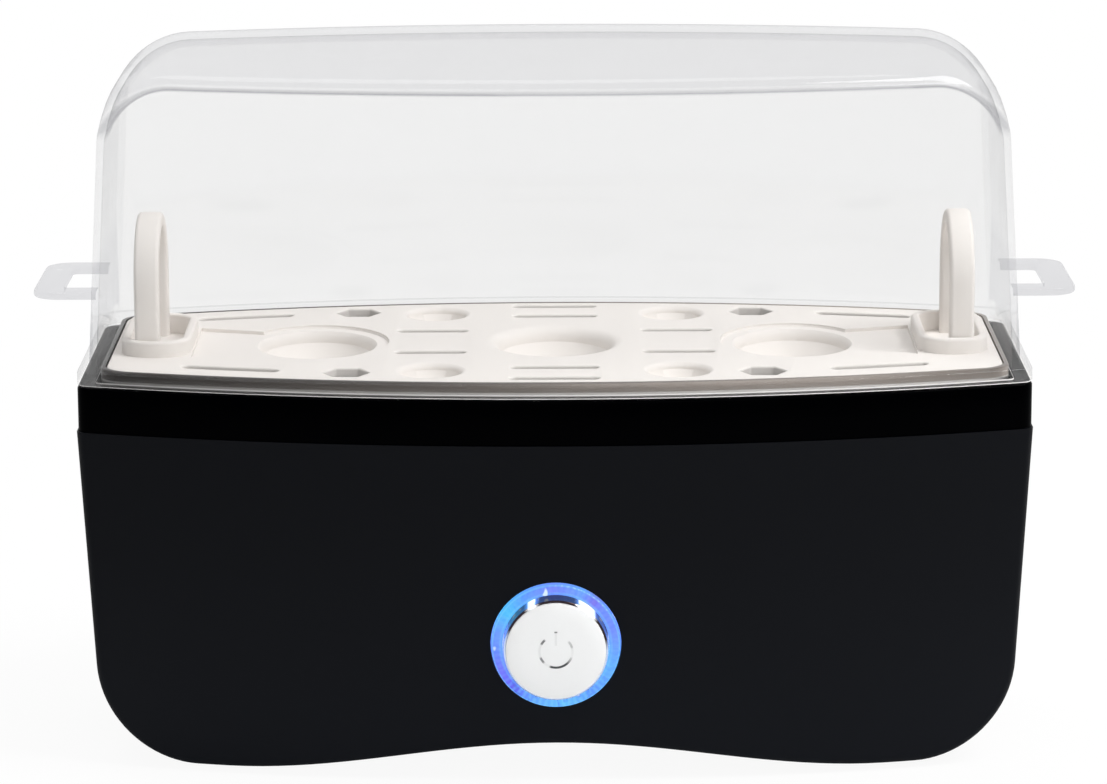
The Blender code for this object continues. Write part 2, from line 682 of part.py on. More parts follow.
def make_heating_dish(material):
    """Pressed steel water dish with a ledge for the tray and an upright lip."""
    basin = BEZEL_SHELF_INSET + DISH_BASIN_CLEARANCE
    inner = basin + DISH_SHEET
    lip_inner = DISH_LIP_INSET + DISH_LIP_SHEET
    floor = DISH_BOTTOM + DISH_SHEET
    edge_shares = ((1.0, 0.0), (0.3, 0.3), (0.0, 1.0))
    inner_edge = DISH_FLOOR_EDGE - DISH_SHEET
    profile = [(inner + across * inner_edge, floor + up * inner_edge) for across, up in edge_shares]
    profile += [(inner, LEDGE_TOP), (lip_inner, LEDGE_TOP), (lip_inner, DISH_LIP_TOP)]
    profile += [(DISH_LIP_INSET, DISH_LIP_TOP), (DISH_LIP_INSET, LEDGE_BOTTOM), (basin, LEDGE_BOTTOM)]
    for across, up in edge_shares[::-1]:
        profile.append((basin + across * DISH_FLOOR_EDGE, DISH_BOTTOM + up * DISH_FLOOR_EDGE))
    swept("heating_dish", profile, DISH_CORNER, material, closed=False)


def lid_surface(wall):
    """Rings of the lid's dome, from its foot to its crown, moved in by a wall."""
    height = LID_HEIGHT - wall
    side_radius = LID_SIDE_RADIUS - wall
    front_radius = LID_FRONT_RADIUS - wall
    rings = []
    levels = [0.0]
    for share in LID_ARC_SHARES:
        levels.append(height - side_radius * (1 - math.sin(share * math.pi / 2)))
    for level in levels:
        draft = level * math.tan(LID_DRAFT)
        side_climb = max(0.0, level - height + side_radius)
        front_climb = max(0.0, level - height + front_radius)
        side_in = side_radius - math.sqrt(max(0.0, side_radius**2 - side_climb**2))
        front_in = front_radius - math.sqrt(max(0.0, front_radius**2 - front_climb**2))
        foot = LID_WALL_INSET + wall + draft
        outline = plan_outline(foot + side_in, foot + front_in, LID_CORNER - wall)
        rings.append([(x, y, FLANGE_TOP + level) for x, y in outline])
    crown = plan_outline(
        foot + side_radius + LID_CROWN_SLOPE, foot + front_radius + LID_CROWN_SLOPE, LID_CORNER - wall
    )
    rings.append([(x, y, FLANGE_TOP + height + LID_CROWN) for x, y in crown])
    return rings


def make_lid(material):
    """Clear drafted dome with its rim flange and two flat loop handles."""
    shape = bmesh.new()
    rim = []
    for inset, z in ((0.0, FLANGE_TOP), (0.0, FLANGE_BOTTOM)):
        rim.append([(x, y, z) for x, y in plan_outline(inset, inset, BODY_CORNER)])
    inside = lid_surface(LID_WALL)
    foot = [(x, y, FLANGE_BOTTOM) for x, y, z in inside[0]]
    loft(shape, lid_surface(0.0)[::-1] + rim + [foot] + inside[1:])
    lid = add_object("lid", shape, material)

    shape = bmesh.new()
    bottom = FLANGE_TOP + HANDLE_RISE
    lean = (HANDLE_RISE + HANDLE_THICKNESS) * math.tan(LID_DRAFT)
    wall_x = BODY_HALF_WIDTH - LID_WALL_INSET - lean - EMBED
    reach = wall_x + HANDLE_REACH
    for side in (-1, 1):
        outer = []
        inner = []
        for turn_side in (-1, 1):
            corner = (reach - HANDLE_CORNER, turn_side * (HANDLE_HALF_LENGTH - HANDLE_CORNER))
            start = -math.pi / 2 if turn_side < 0 else 0.0
            outer += arc_points(corner, HANDLE_CORNER, start, start + math.pi / 2, CORNER_STEPS)
            hole_corner = (reach - HANDLE_BAR, turn_side * (HANDLE_HALF_LENGTH - HANDLE_BAR))
            inner.append(hole_corner)
        outline = [(wall_x, -HANDLE_HALF_LENGTH)] + outer + [(wall_x, HANDLE_HALF_LENGTH)]
        outline += [(wall_x, inner[1][1]), inner[1], inner[0], (wall_x, inner[0][1])]
        prism(shape, [(side * x, y) for x, y in outline], bottom, bottom + HANDLE_THICKNESS)
    boolean(lid, add_helper("lid_handles", shape), "UNION")


def hollow(rim, throat, floor, depth, overrun):
    """Profile of an egg hollow from its floor to above its filleted rim, measured down from the plate."""
    fillet = rim - throat
    profile = [(0.0, -depth), (floor, -depth)]
    for step in range(RIM_STEPS + 1):
        turn = math.pi / 2 * step / RIM_STEPS
        profile.append((rim - fillet * math.cos(turn), -fillet * (1 - math.sin(turn))))
    return profile + [(rim, overrun), (0.0, overrun)]


def make_egg_tray(material):
    """Moulded tray: plate and skirt, egg cups and bowls, steam slots, collars and lifting arches."""
    plate_bottom = TRAY_TOP - TRAY_PLATE
    skirt_inner = TRAY_INSET + TRAY_SKIRT_WALL
    shape = bmesh.new()
    rings = []
    for inset, z in (
        (TRAY_INSET, TRAY_TOP),
        (TRAY_INSET, TRAY_BOTTOM),
        (skirt_inner, TRAY_BOTTOM),
        (skirt_inner, plate_bottom),
    ):
        rings.append([(x, y, z) for x, y in plan_outline(inset, inset, TRAY_CORNER)])
    loft(shape, rings)
    tray = add_object("egg_tray", shape, material)

    cups = [(side * CUP_SPACING, 0.0, TRAY_TOP) for side in (-1, 0, 1)]
    bowls = [(side_x * BOWL_X, side_y * BOWL_Y, TRAY_TOP) for side_x in (-1, 1) for side_y in (-1, 1)]
    shells = bmesh.new()
    for places, floor, rim, depth, stretch in (
        (cups, CUP_FLOOR_RADIUS, CUP_RIM_RADIUS, CUP_DEPTH, CUP_STRETCH_SHARE),
        (bowls, BOWL_FLOOR_RADIUS, BOWL_RIM_RADIUS, BOWL_DEPTH, BOWL_STRETCH_SHARE),
    ):
        sink = depth + CUP_WALL
        shell = [(0.0, -sink), (floor + CUP_WALL, -sink)]
        shell += [(rim + CUP_WALL, -TRAY_PLATE / 2), (0.0, -TRAY_PLATE / 2)]
        for place in places:
            lathe(shells, shell, ROUND_STEPS, place, stretch)
    for side in (-1, 1):
        collar = rounded_box(COLLAR_HALF_WIDTH, COLLAR_HALF_LENGTH, COLLAR_CORNER, (side * COLLAR_X, 0.0))
        prism(shells, collar, plate_bottom + TRAY_PLATE / 2, TRAY_TOP + COLLAR_HEIGHT)
    boolean(tray, add_helper("tray_shells", shells), "UNION")

    recess = bmesh.new()
    for side in (-1, 1):
        radius = CUP_RIM_RADIUS + RECESS_MARGIN
        start = math.asin(NECK_CUP_HALF_WIDTH / (radius * CUP_STRETCH_SHARE))
        ring = arc_points((0.0, 0.0), radius, start, 2 * math.pi - start, ROUND_STEPS)
        outline = [(side * (CUP_SPACING + x), y * CUP_STRETCH_SHARE) for x, y in ring]
        mouth = COLLAR_X - COLLAR_HALF_WIDTH - GAP
        outline += [(side * mouth, -NECK_COLLAR_HALF_WIDTH), (side * mouth, NECK_COLLAR_HALF_WIDTH)]
        prism(recess, outline, TRAY_TOP - RECESS_DEPTH, TRAY_TOP + OVERRUN)
        pit = rounded_box(
            COLLAR_HALF_WIDTH - COLLAR_WALL,
            COLLAR_HALF_LENGTH - COLLAR_WALL,
            COLLAR_CORNER - COLLAR_WALL,
            (side * COLLAR_X, 0.0),
        )
        prism(recess, pit, TRAY_TOP - PIT_DEPTH, TRAY_TOP + OVERRUN)
    boolean(tray, add_helper("tray_recesses", recess), "DIFFERENCE")

    arches = bmesh.new()
    for side in (-1, 1):
        add_arch(arches, side)
    boolean(tray, add_helper("tray_arches", arches), "UNION")

    cuts = bmesh.new()
    for place in cups:
        profile = hollow(CUP_RIM_RADIUS, CUP_THROAT_RADIUS, CUP_FLOOR_RADIUS, CUP_DEPTH, OVERRUN)
        drain = -CUP_DEPTH - CUP_WALL - OVERRUN
        profile = [(0.0, drain), (CUP_DRAIN_RADIUS, drain), (CUP_DRAIN_RADIUS, -CUP_DEPTH)] + profile[1:]
        lathe(cuts, profile, ROUND_STEPS, place, CUP_STRETCH_SHARE)
    for place in bowls:
        profile = hollow(BOWL_RIM_RADIUS, BOWL_THROAT_RADIUS, BOWL_FLOOR_RADIUS, BOWL_DEPTH, OVERRUN)
        lathe(cuts, profile, ROUND_STEPS, place, BOWL_STRETCH_SHARE)
    for outline in slot_outlines():
        prism(cuts, outline, plate_bottom - OVERRUN, TRAY_TOP + OVERRUN)
    boolean(tray, add_helper("tray_cuts", cuts), "DIFFERENCE")


def slot_outlines():
    """Outlines of the hexagonal holes and every steam slot."""
    hex_shares = ((1.0, 0.0), (0.5, 0.95), (-0.5, 0.95), (-1.0, 0.0), (-0.5, -0.95), (0.5, -0.95))
    outlines = []
    for side_x in (-1, 1):
        for side_y in (-1, 1):
            hexagon = [(HEX_X + a * HEX_RADIUS, HEX_Y + b * HEX_RADIUS) for a, b in hex_shares]
            outlines.append([(side_x * x, side_y * y) for x, y in hexagon])
            ends = (-SIDE_SLOT_HALF_LENGTH, SIDE_SLOT_HALF_LENGTH)
            line = [(side_x * SIDE_SLOT_X + shift, side_y * SIDE_SLOT_Y) for shift in ends]
            outlines.append(capsule(line, SLOT_WIDTH))
            places = [
                END_SLOT_OUTER_X - END_SLOT_LENGTH * step / SLOT_STEPS
                for step in range(SLOT_STEPS + 1)
            ]
            line = [(side_x * x, side_y * sheet_y(x, END_SLOT_INSET)) for x in places]
            outlines.append(capsule(line, END_SLOT_WIDTH))
    for side_y in (-1, 1):
        for row in (0, 1):
            y = side_y * (MIDDLE_SLOT_INNER_Y + row * MIDDLE_SLOT_PITCH)
            line = [(-MIDDLE_SLOT_HALF_LENGTH, y), (MIDDLE_SLOT_HALF_LENGTH, y)]
            outlines.append(capsule(line, SLOT_WIDTH))
    return outlines


def add_arch(shape, side):
    """Lifting arch that stands in a collar, with a small gusset at the foot of its front leg."""
    foot = TRAY_TOP - PIT_DEPTH - EMBED
    spring_line = TRAY_TOP + ARCH_HEIGHT - ARCH_HALF_SPAN
    outer = arc_points((0.0, spring_line), ARCH_HALF_SPAN, 0.0, math.pi, ARCH_STEPS)
    inner = arc_points((0.0, spring_line), ARCH_HALF_SPAN - ARCH_BAND, math.pi, 0.0, ARCH_STEPS)
    inner_y = ARCH_HALF_SPAN - ARCH_BAND
    gusset = [(-inner_y + ARCH_GUSSET_LENGTH, foot)]
    gusset += [(-inner_y + ARCH_GUSSET_LENGTH, TRAY_TOP), (-inner_y, TRAY_TOP + ARCH_GUSSET_HEIGHT)]
    outline = [(ARCH_HALF_SPAN, foot)] + outer + [(-ARCH_HALF_SPAN, foot)] + gusset
    outline += inner + [(inner_y, foot)]
    low = side * ARCH_X - ARCH_WIDTH / 2
    loft(shape, [[(x, y, z) for y, z in outline] for x in (low, low + ARCH_WIDTH)])


def make_button(white, chrome, lit):
    """Cap, chrome trim and light ring, all turned about the button's own axis."""
    frame = wall_frame(0.0, BUTTON_Z, -1)
    trim_outer = CAP_RADIUS + GAP + TRIM_WALL
    ring_bore = trim_outer + RING_BORE_CLEARANCE
    sag = BODY_HALF_DEPTH - sheet_y(RING_RADIUS + RING_FLANGE_REACH)
    ring_seat = -HOUSING_WALL - sag - GAP
    ring_back = ring_seat - RING_FLANGE
    trim_front = CAP_PROUD - TRIM_SHORT
    trim_seat = ring_back - GAP
    trim_back = trim_seat - TRIM_FLANGE
    stem_end = -BOARD_SETBACK + GAP + SWITCH_HEIGHT + PLUNGER_PROUD + GAP
    cap_back = CAP_PROUD - CAP_DEPTH

    shape = bmesh.new()
    skirt_inner = CAP_RADIUS - CAP_SKIRT
    plate_back = CAP_PROUD - CAP_SKIRT
    profile = [(0.0, CAP_PROUD + CAP_CROWN), (CAP_RADIUS / 2, CAP_PROUD + CAP_CROWN * CAP_CROWN_SHARE)]
    profile += [(CAP_RADIUS, CAP_PROUD)]
    profile += [(CAP_RADIUS, cap_back), (skirt_inner, cap_back), (skirt_inner, plate_back)]
    profile += [(CAP_STEM_RADIUS, plate_back), (CAP_STEM_RADIUS, stem_end), (0.0, stem_end)]
    lathe(shape, profile)
    add_object("button_cap", shape, white, frame)

    shape = bmesh.new()
    bore = CAP_RADIUS + GAP
    flange = trim_outer + TRIM_FLANGE_REACH
    profile = [(bore, trim_front), (bore, trim_back), (flange, trim_back), (flange, trim_seat)]
    profile += [(trim_outer, trim_seat), (trim_outer, trim_front)]
    lathe(shape, profile)
    add_object("button_trim", shape, chrome, frame)

    shape = bmesh.new()
    profile = [(ring_bore, RING_PROUD - RING_EDGE), (ring_bore, ring_back)]
    profile += [(RING_RADIUS + RING_FLANGE_REACH, ring_back), (RING_RADIUS + RING_FLANGE_REACH, ring_seat)]
    profile += [(RING_RADIUS, ring_seat), (RING_RADIUS, RING_PROUD - RING_EDGE)]
    profile += [(RING_RADIUS - RING_EDGE, RING_PROUD), (ring_bore + RING_EDGE, RING_PROUD)]
    lathe(shape, profile)
    add_object("light_ring", shape, lit, frame)


def make_control_board(board, plastic, metal, lens):
    """Circuit board on the posts behind the button, with what it carries."""
    frame = wall_frame(0.0, BUTTON_Z, -1)
    face = -BOARD_SETBACK
    back = face - BOARD_THICKNESS

    shape = bmesh.new()
    prism(shape, rounded_box(BOARD_HALF_WIDTH, BOARD_HALF_HEIGHT, BOARD_CORNER), back, face)
    made = add_object("control_board", shape, board, frame)
    shape = bmesh.new()
    hole = cylinder(BOARD_SCREW_RADIUS + GAP, back - OVERRUN, face + OVERRUN)
    for x in (-BOARD_POST_X, BOARD_POST_X):
        lathe(shape, hole, SMALL_STEPS, (x, 0.0, 0.0))
    boolean(made, add_helper("board_holes", shape, frame), "DIFFERENCE")

    for number, x in enumerate((-BOARD_POST_X, BOARD_POST_X), 1):
        shape = bmesh.new()
        head = back - GAP
        tip = face + BOARD_SCREW_GRIP - GAP
        profile = cylinder(BOARD_SCREW_HEAD_RADIUS, head - BOARD_SCREW_HEAD, head)[:3]
        profile += cylinder(BOARD_SCREW_RADIUS, head, tip)[1:]
        lathe(shape, profile, SMALL_STEPS)
        add_object(f"board_screw_{number}", shape, metal, frame @ Matrix.Translation((x, 0.0, 0.0)))

    switch_bottom = face + GAP
    switch_top = switch_bottom + SWITCH_HEIGHT
    shape = bmesh.new()
    box(
        shape,
        (-SWITCH_HALF_WIDTH, -SWITCH_HALF_WIDTH, switch_bottom),
        (SWITCH_HALF_WIDTH, SWITCH_HALF_WIDTH, switch_top),
    )
    switch = add_object("push_switch", shape, plastic, frame)
    plunger_top = switch_top + PLUNGER_PROUD
    plunger_bottom = plunger_top - PLUNGER_LENGTH
    bore_bottom = plunger_bottom - BUTTON_TRAVEL - GAP
    shape = bmesh.new()
    lathe(shape, cylinder(PLUNGER_RADIUS + GAP, bore_bottom, switch_top + OVERRUN), SMALL_STEPS)
    boolean(switch, add_helper("switch_bore", shape, frame), "DIFFERENCE")
    shape = bmesh.new()
    lathe(shape, cylinder(PLUNGER_RADIUS, plunger_bottom, plunger_top), SMALL_STEPS)
    add_object("switch_plunger", shape, plastic, frame)

    for number in range(4):
        turn = math.radians(45.0) + number * math.pi / 2
        place = Matrix.Translation((LED_CIRCLE * math.cos(turn), LED_CIRCLE * math.sin(turn), face + GAP))
        shape = bmesh.new()
        shoulder = LED_HEIGHT - LED_RADIUS
        dome = arc_points((0.0, shoulder), LED_RADIUS, 0.0, math.pi / 2, CORNER_STEPS)
        profile = [(0.0, 0.0), (LED_RADIUS, 0.0)] + dome[:-1] + [(0.0, LED_HEIGHT)]
        lathe(shape, profile, SMALL_STEPS)
        add_object(f"ring_led_{number + 1}", shape, lens, frame @ place)

    shape = bmesh.new()
    top = back - GAP
    lathe(shape, cylinder(BUZZER_RADIUS, top - BUZZER_HEIGHT, top), 2 * SMALL_STEPS)
    add_object("buzzer", shape, plastic, frame @ Matrix.Translation((BUZZER_X, 0.0, 0.0)))

    shape = bmesh.new()
    low = (RELAY_X - RELAY_HALF_WIDTH, -RELAY_HALF_HEIGHT, top - RELAY_DEPTH)
    box(shape, low, (RELAY_X + RELAY_HALF_WIDTH, RELAY_HALF_HEIGHT, top))
    add_object("relay", shape, plastic, frame)


def make_heater(aluminium, steel, plastic):
    """Heater plate and element under the dish, the bar, studs and nuts that hold them, and the cut-outs."""
    shape = bmesh.new()
    outline = rounded_box(HEATER_PLATE_HALF_LENGTH, HEATER_PLATE_HALF_WIDTH, HEATER_PLATE_CORNER)
    prism(shape, outline, PLATE_BOTTOM, PLATE_TOP)
    add_object("heater_plate", shape, aluminium)

    bend_x = ELEMENT_HALF_LENGTH - ELEMENT_HALF_PITCH
    bend = arc_points((bend_x, 0.0), ELEMENT_HALF_PITCH, -math.pi / 2, math.pi / 2, ELEMENT_BEND_STEPS)
    ends = [(-ELEMENT_HALF_LENGTH, -ELEMENT_HALF_PITCH), (-ELEMENT_HALF_LENGTH, ELEMENT_HALF_PITCH)]
    path = [ends[0]] + bend + [ends[1]]
    add_tube("heating_element", [(x, y, ELEMENT_Z) for x, y in path], ELEMENT_RADIUS, steel)

    shape = bmesh.new()
    end_top = SKIRT_BOTTOM - GAP
    end_x = BAR_HALF_SPAN + BAR_END_REACH
    right = [(BAR_HALF_SPAN, BAR_TOP - BAR_SHEET), (BAR_HALF_SPAN, end_top - BAR_SHEET)]
    right += [(end_x, end_top - BAR_SHEET), (end_x, end_top)]
    right += [(BAR_HALF_SPAN - BAR_SHEET, end_top), (BAR_HALF_SPAN - BAR_SHEET, BAR_TOP)]
    outline = right + [(-x, z) for x, z in reversed(right)]
    front_prism(shape, outline, BAR_HALF_WIDTH)
    bar = add_object("retaining_bar", shape, steel)
    shape = bmesh.new()
    hole = cylinder(STUD_RADIUS + GAP, BAR_TOP - BAR_SHEET - OVERRUN, BAR_TOP + OVERRUN)
    for side in (-1, 1):
        lathe(shape, hole, SMALL_STEPS, (side * STUD_X, 0.0, 0.0))
    boolean(bar, add_helper("bar_holes", shape), "DIFFERENCE")

    nut_top = BAR_TOP - BAR_SHEET - GAP
    nut_bottom = nut_top - NUT_HEIGHT
    stud_bottom = nut_bottom - STUD_OVERHANG
    for side, word in ((-1, "left"), (1, "right")):
        place = Matrix.Translation((side * STUD_X, 0.0, 0.0))
        shape = bmesh.new()
        lathe(shape, cylinder(STUD_RADIUS, stud_bottom, PLATE_TOP), SMALL_STEPS)
        add_object(f"dish_stud_{word}", shape, steel, place)
        shape = bmesh.new()
        profile = [(STUD_RADIUS + GAP, nut_bottom), (NUT_RADIUS, nut_bottom), (NUT_RADIUS, nut_top)]
        lathe(shape, profile + [(STUD_RADIUS + GAP, nut_top)], 6)
        add_object(f"dish_nut_{word}", shape, steel, place, smooth=False)

    shape = bmesh.new()
    low = BAR_TOP + GAP
    high = PLATE_BOTTOM - GAP
    waist = (low + high) / 2
    cap_radius = THERMOSTAT_RADIUS - THERMOSTAT_STEP
    lathe(shape, cylinder(cap_radius, low, waist)[:3] + cylinder(THERMOSTAT_RADIUS, waist, high)[1:])
    add_object("thermostat", shape, plastic, Matrix.Translation((THERMOSTAT_X, 0.0, 0.0)))

    shape = bmesh.new()
    tip_radius = FUSE_RADIUS / 2
    shoulder = FUSE_HALF_LENGTH - FUSE_RADIUS
    profile = [(0.0, -FUSE_HALF_LENGTH), (tip_radius, -FUSE_HALF_LENGTH), (FUSE_RADIUS, -shoulder)]
    profile += [(FUSE_RADIUS, shoulder), (tip_radius, FUSE_HALF_LENGTH), (0.0, FUSE_HALF_LENGTH)]
    lathe(shape, profile, SMALL_STEPS)
    lie = Matrix.Translation((FUSE_X, 0.0, PLATE_BOTTOM - GAP - FUSE_RADIUS))
    add_object("thermal_fuse", shape, steel, lie @ Matrix.Rotation(math.pi / 2, 4, "Y"))


def add_tube(name, path, radius, material):
    """A round tube along a line of points, as a curve with filled caps."""
    curve = bpy.data.curves.new(name, "CURVE")
    curve.dimensions = "3D"
    curve.bevel_depth = radius
    curve.bevel_resolution = LEAD_SIDES
    curve.use_fill_caps = True
    spline = curve.splines.new("POLY")
    spline.points.add(len(path) - 1)
    for point, place in zip(spline.points, path):
        point.co = (*place, 1.0)
    curve.materials.append(material)
    made = bpy.data.objects.new(name, curve)
    bpy.context.scene.collection.objects.link(made)
    return made


def smooth_path(start, start_way, end, end_way):
    """Points on a smooth lead between two ends, each left along its own direction."""
    p0, p3 = Vector(start), Vector(end)
    p1 = p0 + Vector(start_way) * LEAD_SLACK
    p2 = p3 + Vector(end_way) * LEAD_SLACK
    points = []
    for step in range(2 * LEAD_STEPS + 1):
        t = step / (2 * LEAD_STEPS)
        s = 1 - t
        points.append(tuple(p0 * s**3 + 3 * p1 * s**2 * t + 3 * p2 * s * t**2 + p3 * t**3))
    return points


def make_wiring(plastic, rubber, insulation):
    """Terminal block on the cover, the gland where a cord enters, and the leads inside."""
    shape = bmesh.new()
    bottom = COVER_CREST + GAP
    top = bottom + TERMINAL_HEIGHT
    low = (-TERMINAL_HALF_LENGTH, TERMINAL_Y - TERMINAL_HALF_WIDTH, bottom)
    box(shape, low, (TERMINAL_HALF_LENGTH, TERMINAL_Y + TERMINAL_HALF_WIDTH, top))
    block = add_object("terminal_block", shape, plastic)
    shape = bmesh.new()
    ways = [(x, TERMINAL_Y) for x in (-TERMINAL_PITCH, 0.0, TERMINAL_PITCH)]
    floor = top - TERMINAL_FUNNEL_DEPTH
    for x, y in ways:
        lathe(shape, cylinder(TERMINAL_FUNNEL_RADIUS, floor, top + OVERRUN), SMALL_STEPS, (x, y, 0.0))
    boolean(block, add_helper("terminal_funnels", shape), "DIFFERENCE")

    shape = bmesh.new()
    outer_face = GAP + BODY_HALF_DEPTH - sheet_y(GLAND_COLLAR_RADIUS)
    collar_top = outer_face + GLAND_COLLAR
    inner_face = -HOUSING_WALL - GAP - BODY_HALF_DEPTH + sheet_y(GLAND_COLLAR_RADIUS)
    nose_top = collar_top + GLAND_NOSE
    sleeve_end = inner_face - GLAND_SLEEVE
    collar_back = inner_face - GLAND_COLLAR
    profile = [(GLAND_BORE_RADIUS, nose_top), (GLAND_BORE_RADIUS, sleeve_end)]
    profile += [(GLAND_NECK_RADIUS, sleeve_end), (GLAND_NECK_RADIUS, collar_back)]
    profile += [(GLAND_COLLAR_RADIUS, collar_back), (GLAND_COLLAR_RADIUS, inner_face)]
    profile += [(GLAND_NECK_RADIUS, inner_face), (GLAND_NECK_RADIUS, outer_face)]
    profile += [(GLAND_COLLAR_RADIUS, outer_face), (GLAND_COLLAR_RADIUS - GLAND_EDGE, collar_top)]
    profile.append((GLAND_NECK_RADIUS, collar_top))
    profile.append((GLAND_NECK_RADIUS - GLAND_EDGE, nose_top))
    lathe(shape, profile)
    add_object("cord_gland", shape, rubber, wall_frame(0.0, GLAND_Z, 1))

    up, down, back = (0.0, 0.0, 1.0), (0.0, 0.0, -1.0), (0.0, 1.0, 0.0)
    starts = [(x, y, floor + GAP) for x, y in ways]
    beside_element = -ELEMENT_HALF_LENGTH - LEAD_RADIUS - LEAD_CLEARANCE
    beside_thermostat = THERMOSTAT_RADIUS + LEAD_RADIUS + GAP
    behind_board = -BOARD_SETBACK - BOARD_THICKNESS - 2 * GAP
    board_y = (wall_frame(0.0, BUTTON_Z, -1) @ Vector((0.0, 0.0, behind_board))).y + LEAD_RADIUS
    return_start = (-LEAD_RETURN_X, board_y, BUTTON_Z + BOARD_HALF_HEIGHT / 2)
    leads = {
        "lead_live": (starts[0], up, (beside_element, ELEMENT_HALF_PITCH, ELEMENT_Z), down),
        "lead_neutral": (starts[2], up, (THERMOSTAT_X, beside_thermostat, ELEMENT_Z), down),
        "lead_board": (starts[1], up, (0.0, board_y, BUTTON_Z), back),
        "lead_return": (return_start, back, (beside_element, -ELEMENT_HALF_PITCH, ELEMENT_Z), down),
    }
    for name, (start, start_way, end, end_way) in leads.items():
        add_tube(name, smooth_path(start, start_way, end, end_way), LEAD_RADIUS, insulation)


def main():
    for old in list(bpy.data.objects):
        bpy.data.objects.remove(old)
    satin_black = make_material("satin_black", (0.011, 0.012, 0.014), 0.42)
    gloss_black = make_material("gloss_black", (0.003, 0.003, 0.004), 0.08)
    clear = make_material("clear_plastic", (0.9, 0.9, 0.92), 0.04, alpha=0.25)
    ivory = make_material("ivory_plastic", (0.84, 0.80, 0.76), 0.35)
    stainless = make_material("stainless_steel", (0.55, 0.52, 0.49), 0.22, metallic=1.0)
    aluminium = make_material("cast_aluminium", (0.66, 0.66, 0.67), 0.45, metallic=1.0)
    silicone = make_material("grey_silicone", (0.32, 0.32, 0.33), 0.6)
    rubber = make_material("black_rubber", (0.012, 0.012, 0.012), 0.75)
    zinc = make_material("zinc_steel", (0.62, 0.62, 0.60), 0.3, metallic=1.0)
    white = make_material("white_plastic", (0.88, 0.89, 0.89), 0.28)
    chrome = make_material("chrome", (0.85, 0.85, 0.87), 0.05, metallic=1.0)
    lit_blue = make_material("lit_blue_plastic", (0.1, 0.3, 1.0), 0.15, alpha=0.8)
    board_green = make_material("board_green", (0.02, 0.14, 0.06), 0.4)
    component = make_material("component_black", (0.02, 0.02, 0.022), 0.45)
    led_lens = make_material("led_lens", (0.35, 0.5, 0.95), 0.1, alpha=0.7)
    insulation = make_material("lead_insulation", (0.75, 0.73, 0.7), 0.5)

    make_lower_housing(satin_black)
    make_bottom_cover(component)
    make_feet(rubber)
    make_base_screws(zinc)
    make_upper_bezel(gloss_black)
    make_dish_seal(silicone)
    make_heating_dish(stainless)
    make_egg_tray(ivory)
    make_lid(clear)
    make_button(white, chrome, lit_blue)
    make_control_board(board_green, component, zinc, led_lens)
    make_heater(aluminium, zinc, component)
    make_wiring(component, rubber, insulation)


main()
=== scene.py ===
"""Looks of the countertop egg boiler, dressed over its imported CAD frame.

Every length is in metres, in the frame of the CAD model, and every angle is in radians.
"""

import json
import logging
import math
from collections.abc import Callable, Sequence
from dataclasses import dataclass, field
from enum import Enum

import bmesh
import bpy
from mathutils import Matrix, Vector


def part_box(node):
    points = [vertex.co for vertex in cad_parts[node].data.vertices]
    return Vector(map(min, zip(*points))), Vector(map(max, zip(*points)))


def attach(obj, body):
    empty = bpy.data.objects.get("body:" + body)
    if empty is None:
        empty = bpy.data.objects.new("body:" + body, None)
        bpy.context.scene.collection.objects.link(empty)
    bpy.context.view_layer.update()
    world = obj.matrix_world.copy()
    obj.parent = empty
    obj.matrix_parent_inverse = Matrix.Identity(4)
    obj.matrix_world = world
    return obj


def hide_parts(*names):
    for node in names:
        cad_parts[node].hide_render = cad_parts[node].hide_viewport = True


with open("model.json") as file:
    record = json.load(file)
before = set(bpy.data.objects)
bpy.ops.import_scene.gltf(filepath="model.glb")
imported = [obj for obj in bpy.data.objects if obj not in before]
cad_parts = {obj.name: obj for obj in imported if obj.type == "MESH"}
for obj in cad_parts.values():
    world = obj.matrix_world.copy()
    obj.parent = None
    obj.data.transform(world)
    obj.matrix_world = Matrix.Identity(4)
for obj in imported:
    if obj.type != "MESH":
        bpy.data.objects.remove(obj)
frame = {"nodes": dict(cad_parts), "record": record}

LOG = logging.getLogger("egg_boiler")
Place = tuple[float, float, float]
Colour = tuple[float, float, float]
Profile = Sequence[tuple[float, float]]
OVERRUN = 0.01


class Part(Enum):
    """Kinds of mesh element that a hand step can select."""

    VERTS = "VERT"
    EDGES = "EDGE"
    FACES = "FACE"


class Merge(Enum):
    """Ways in which two closed pieces are combined."""

    CUT = "DIFFERENCE"
    JOIN = "UNION"


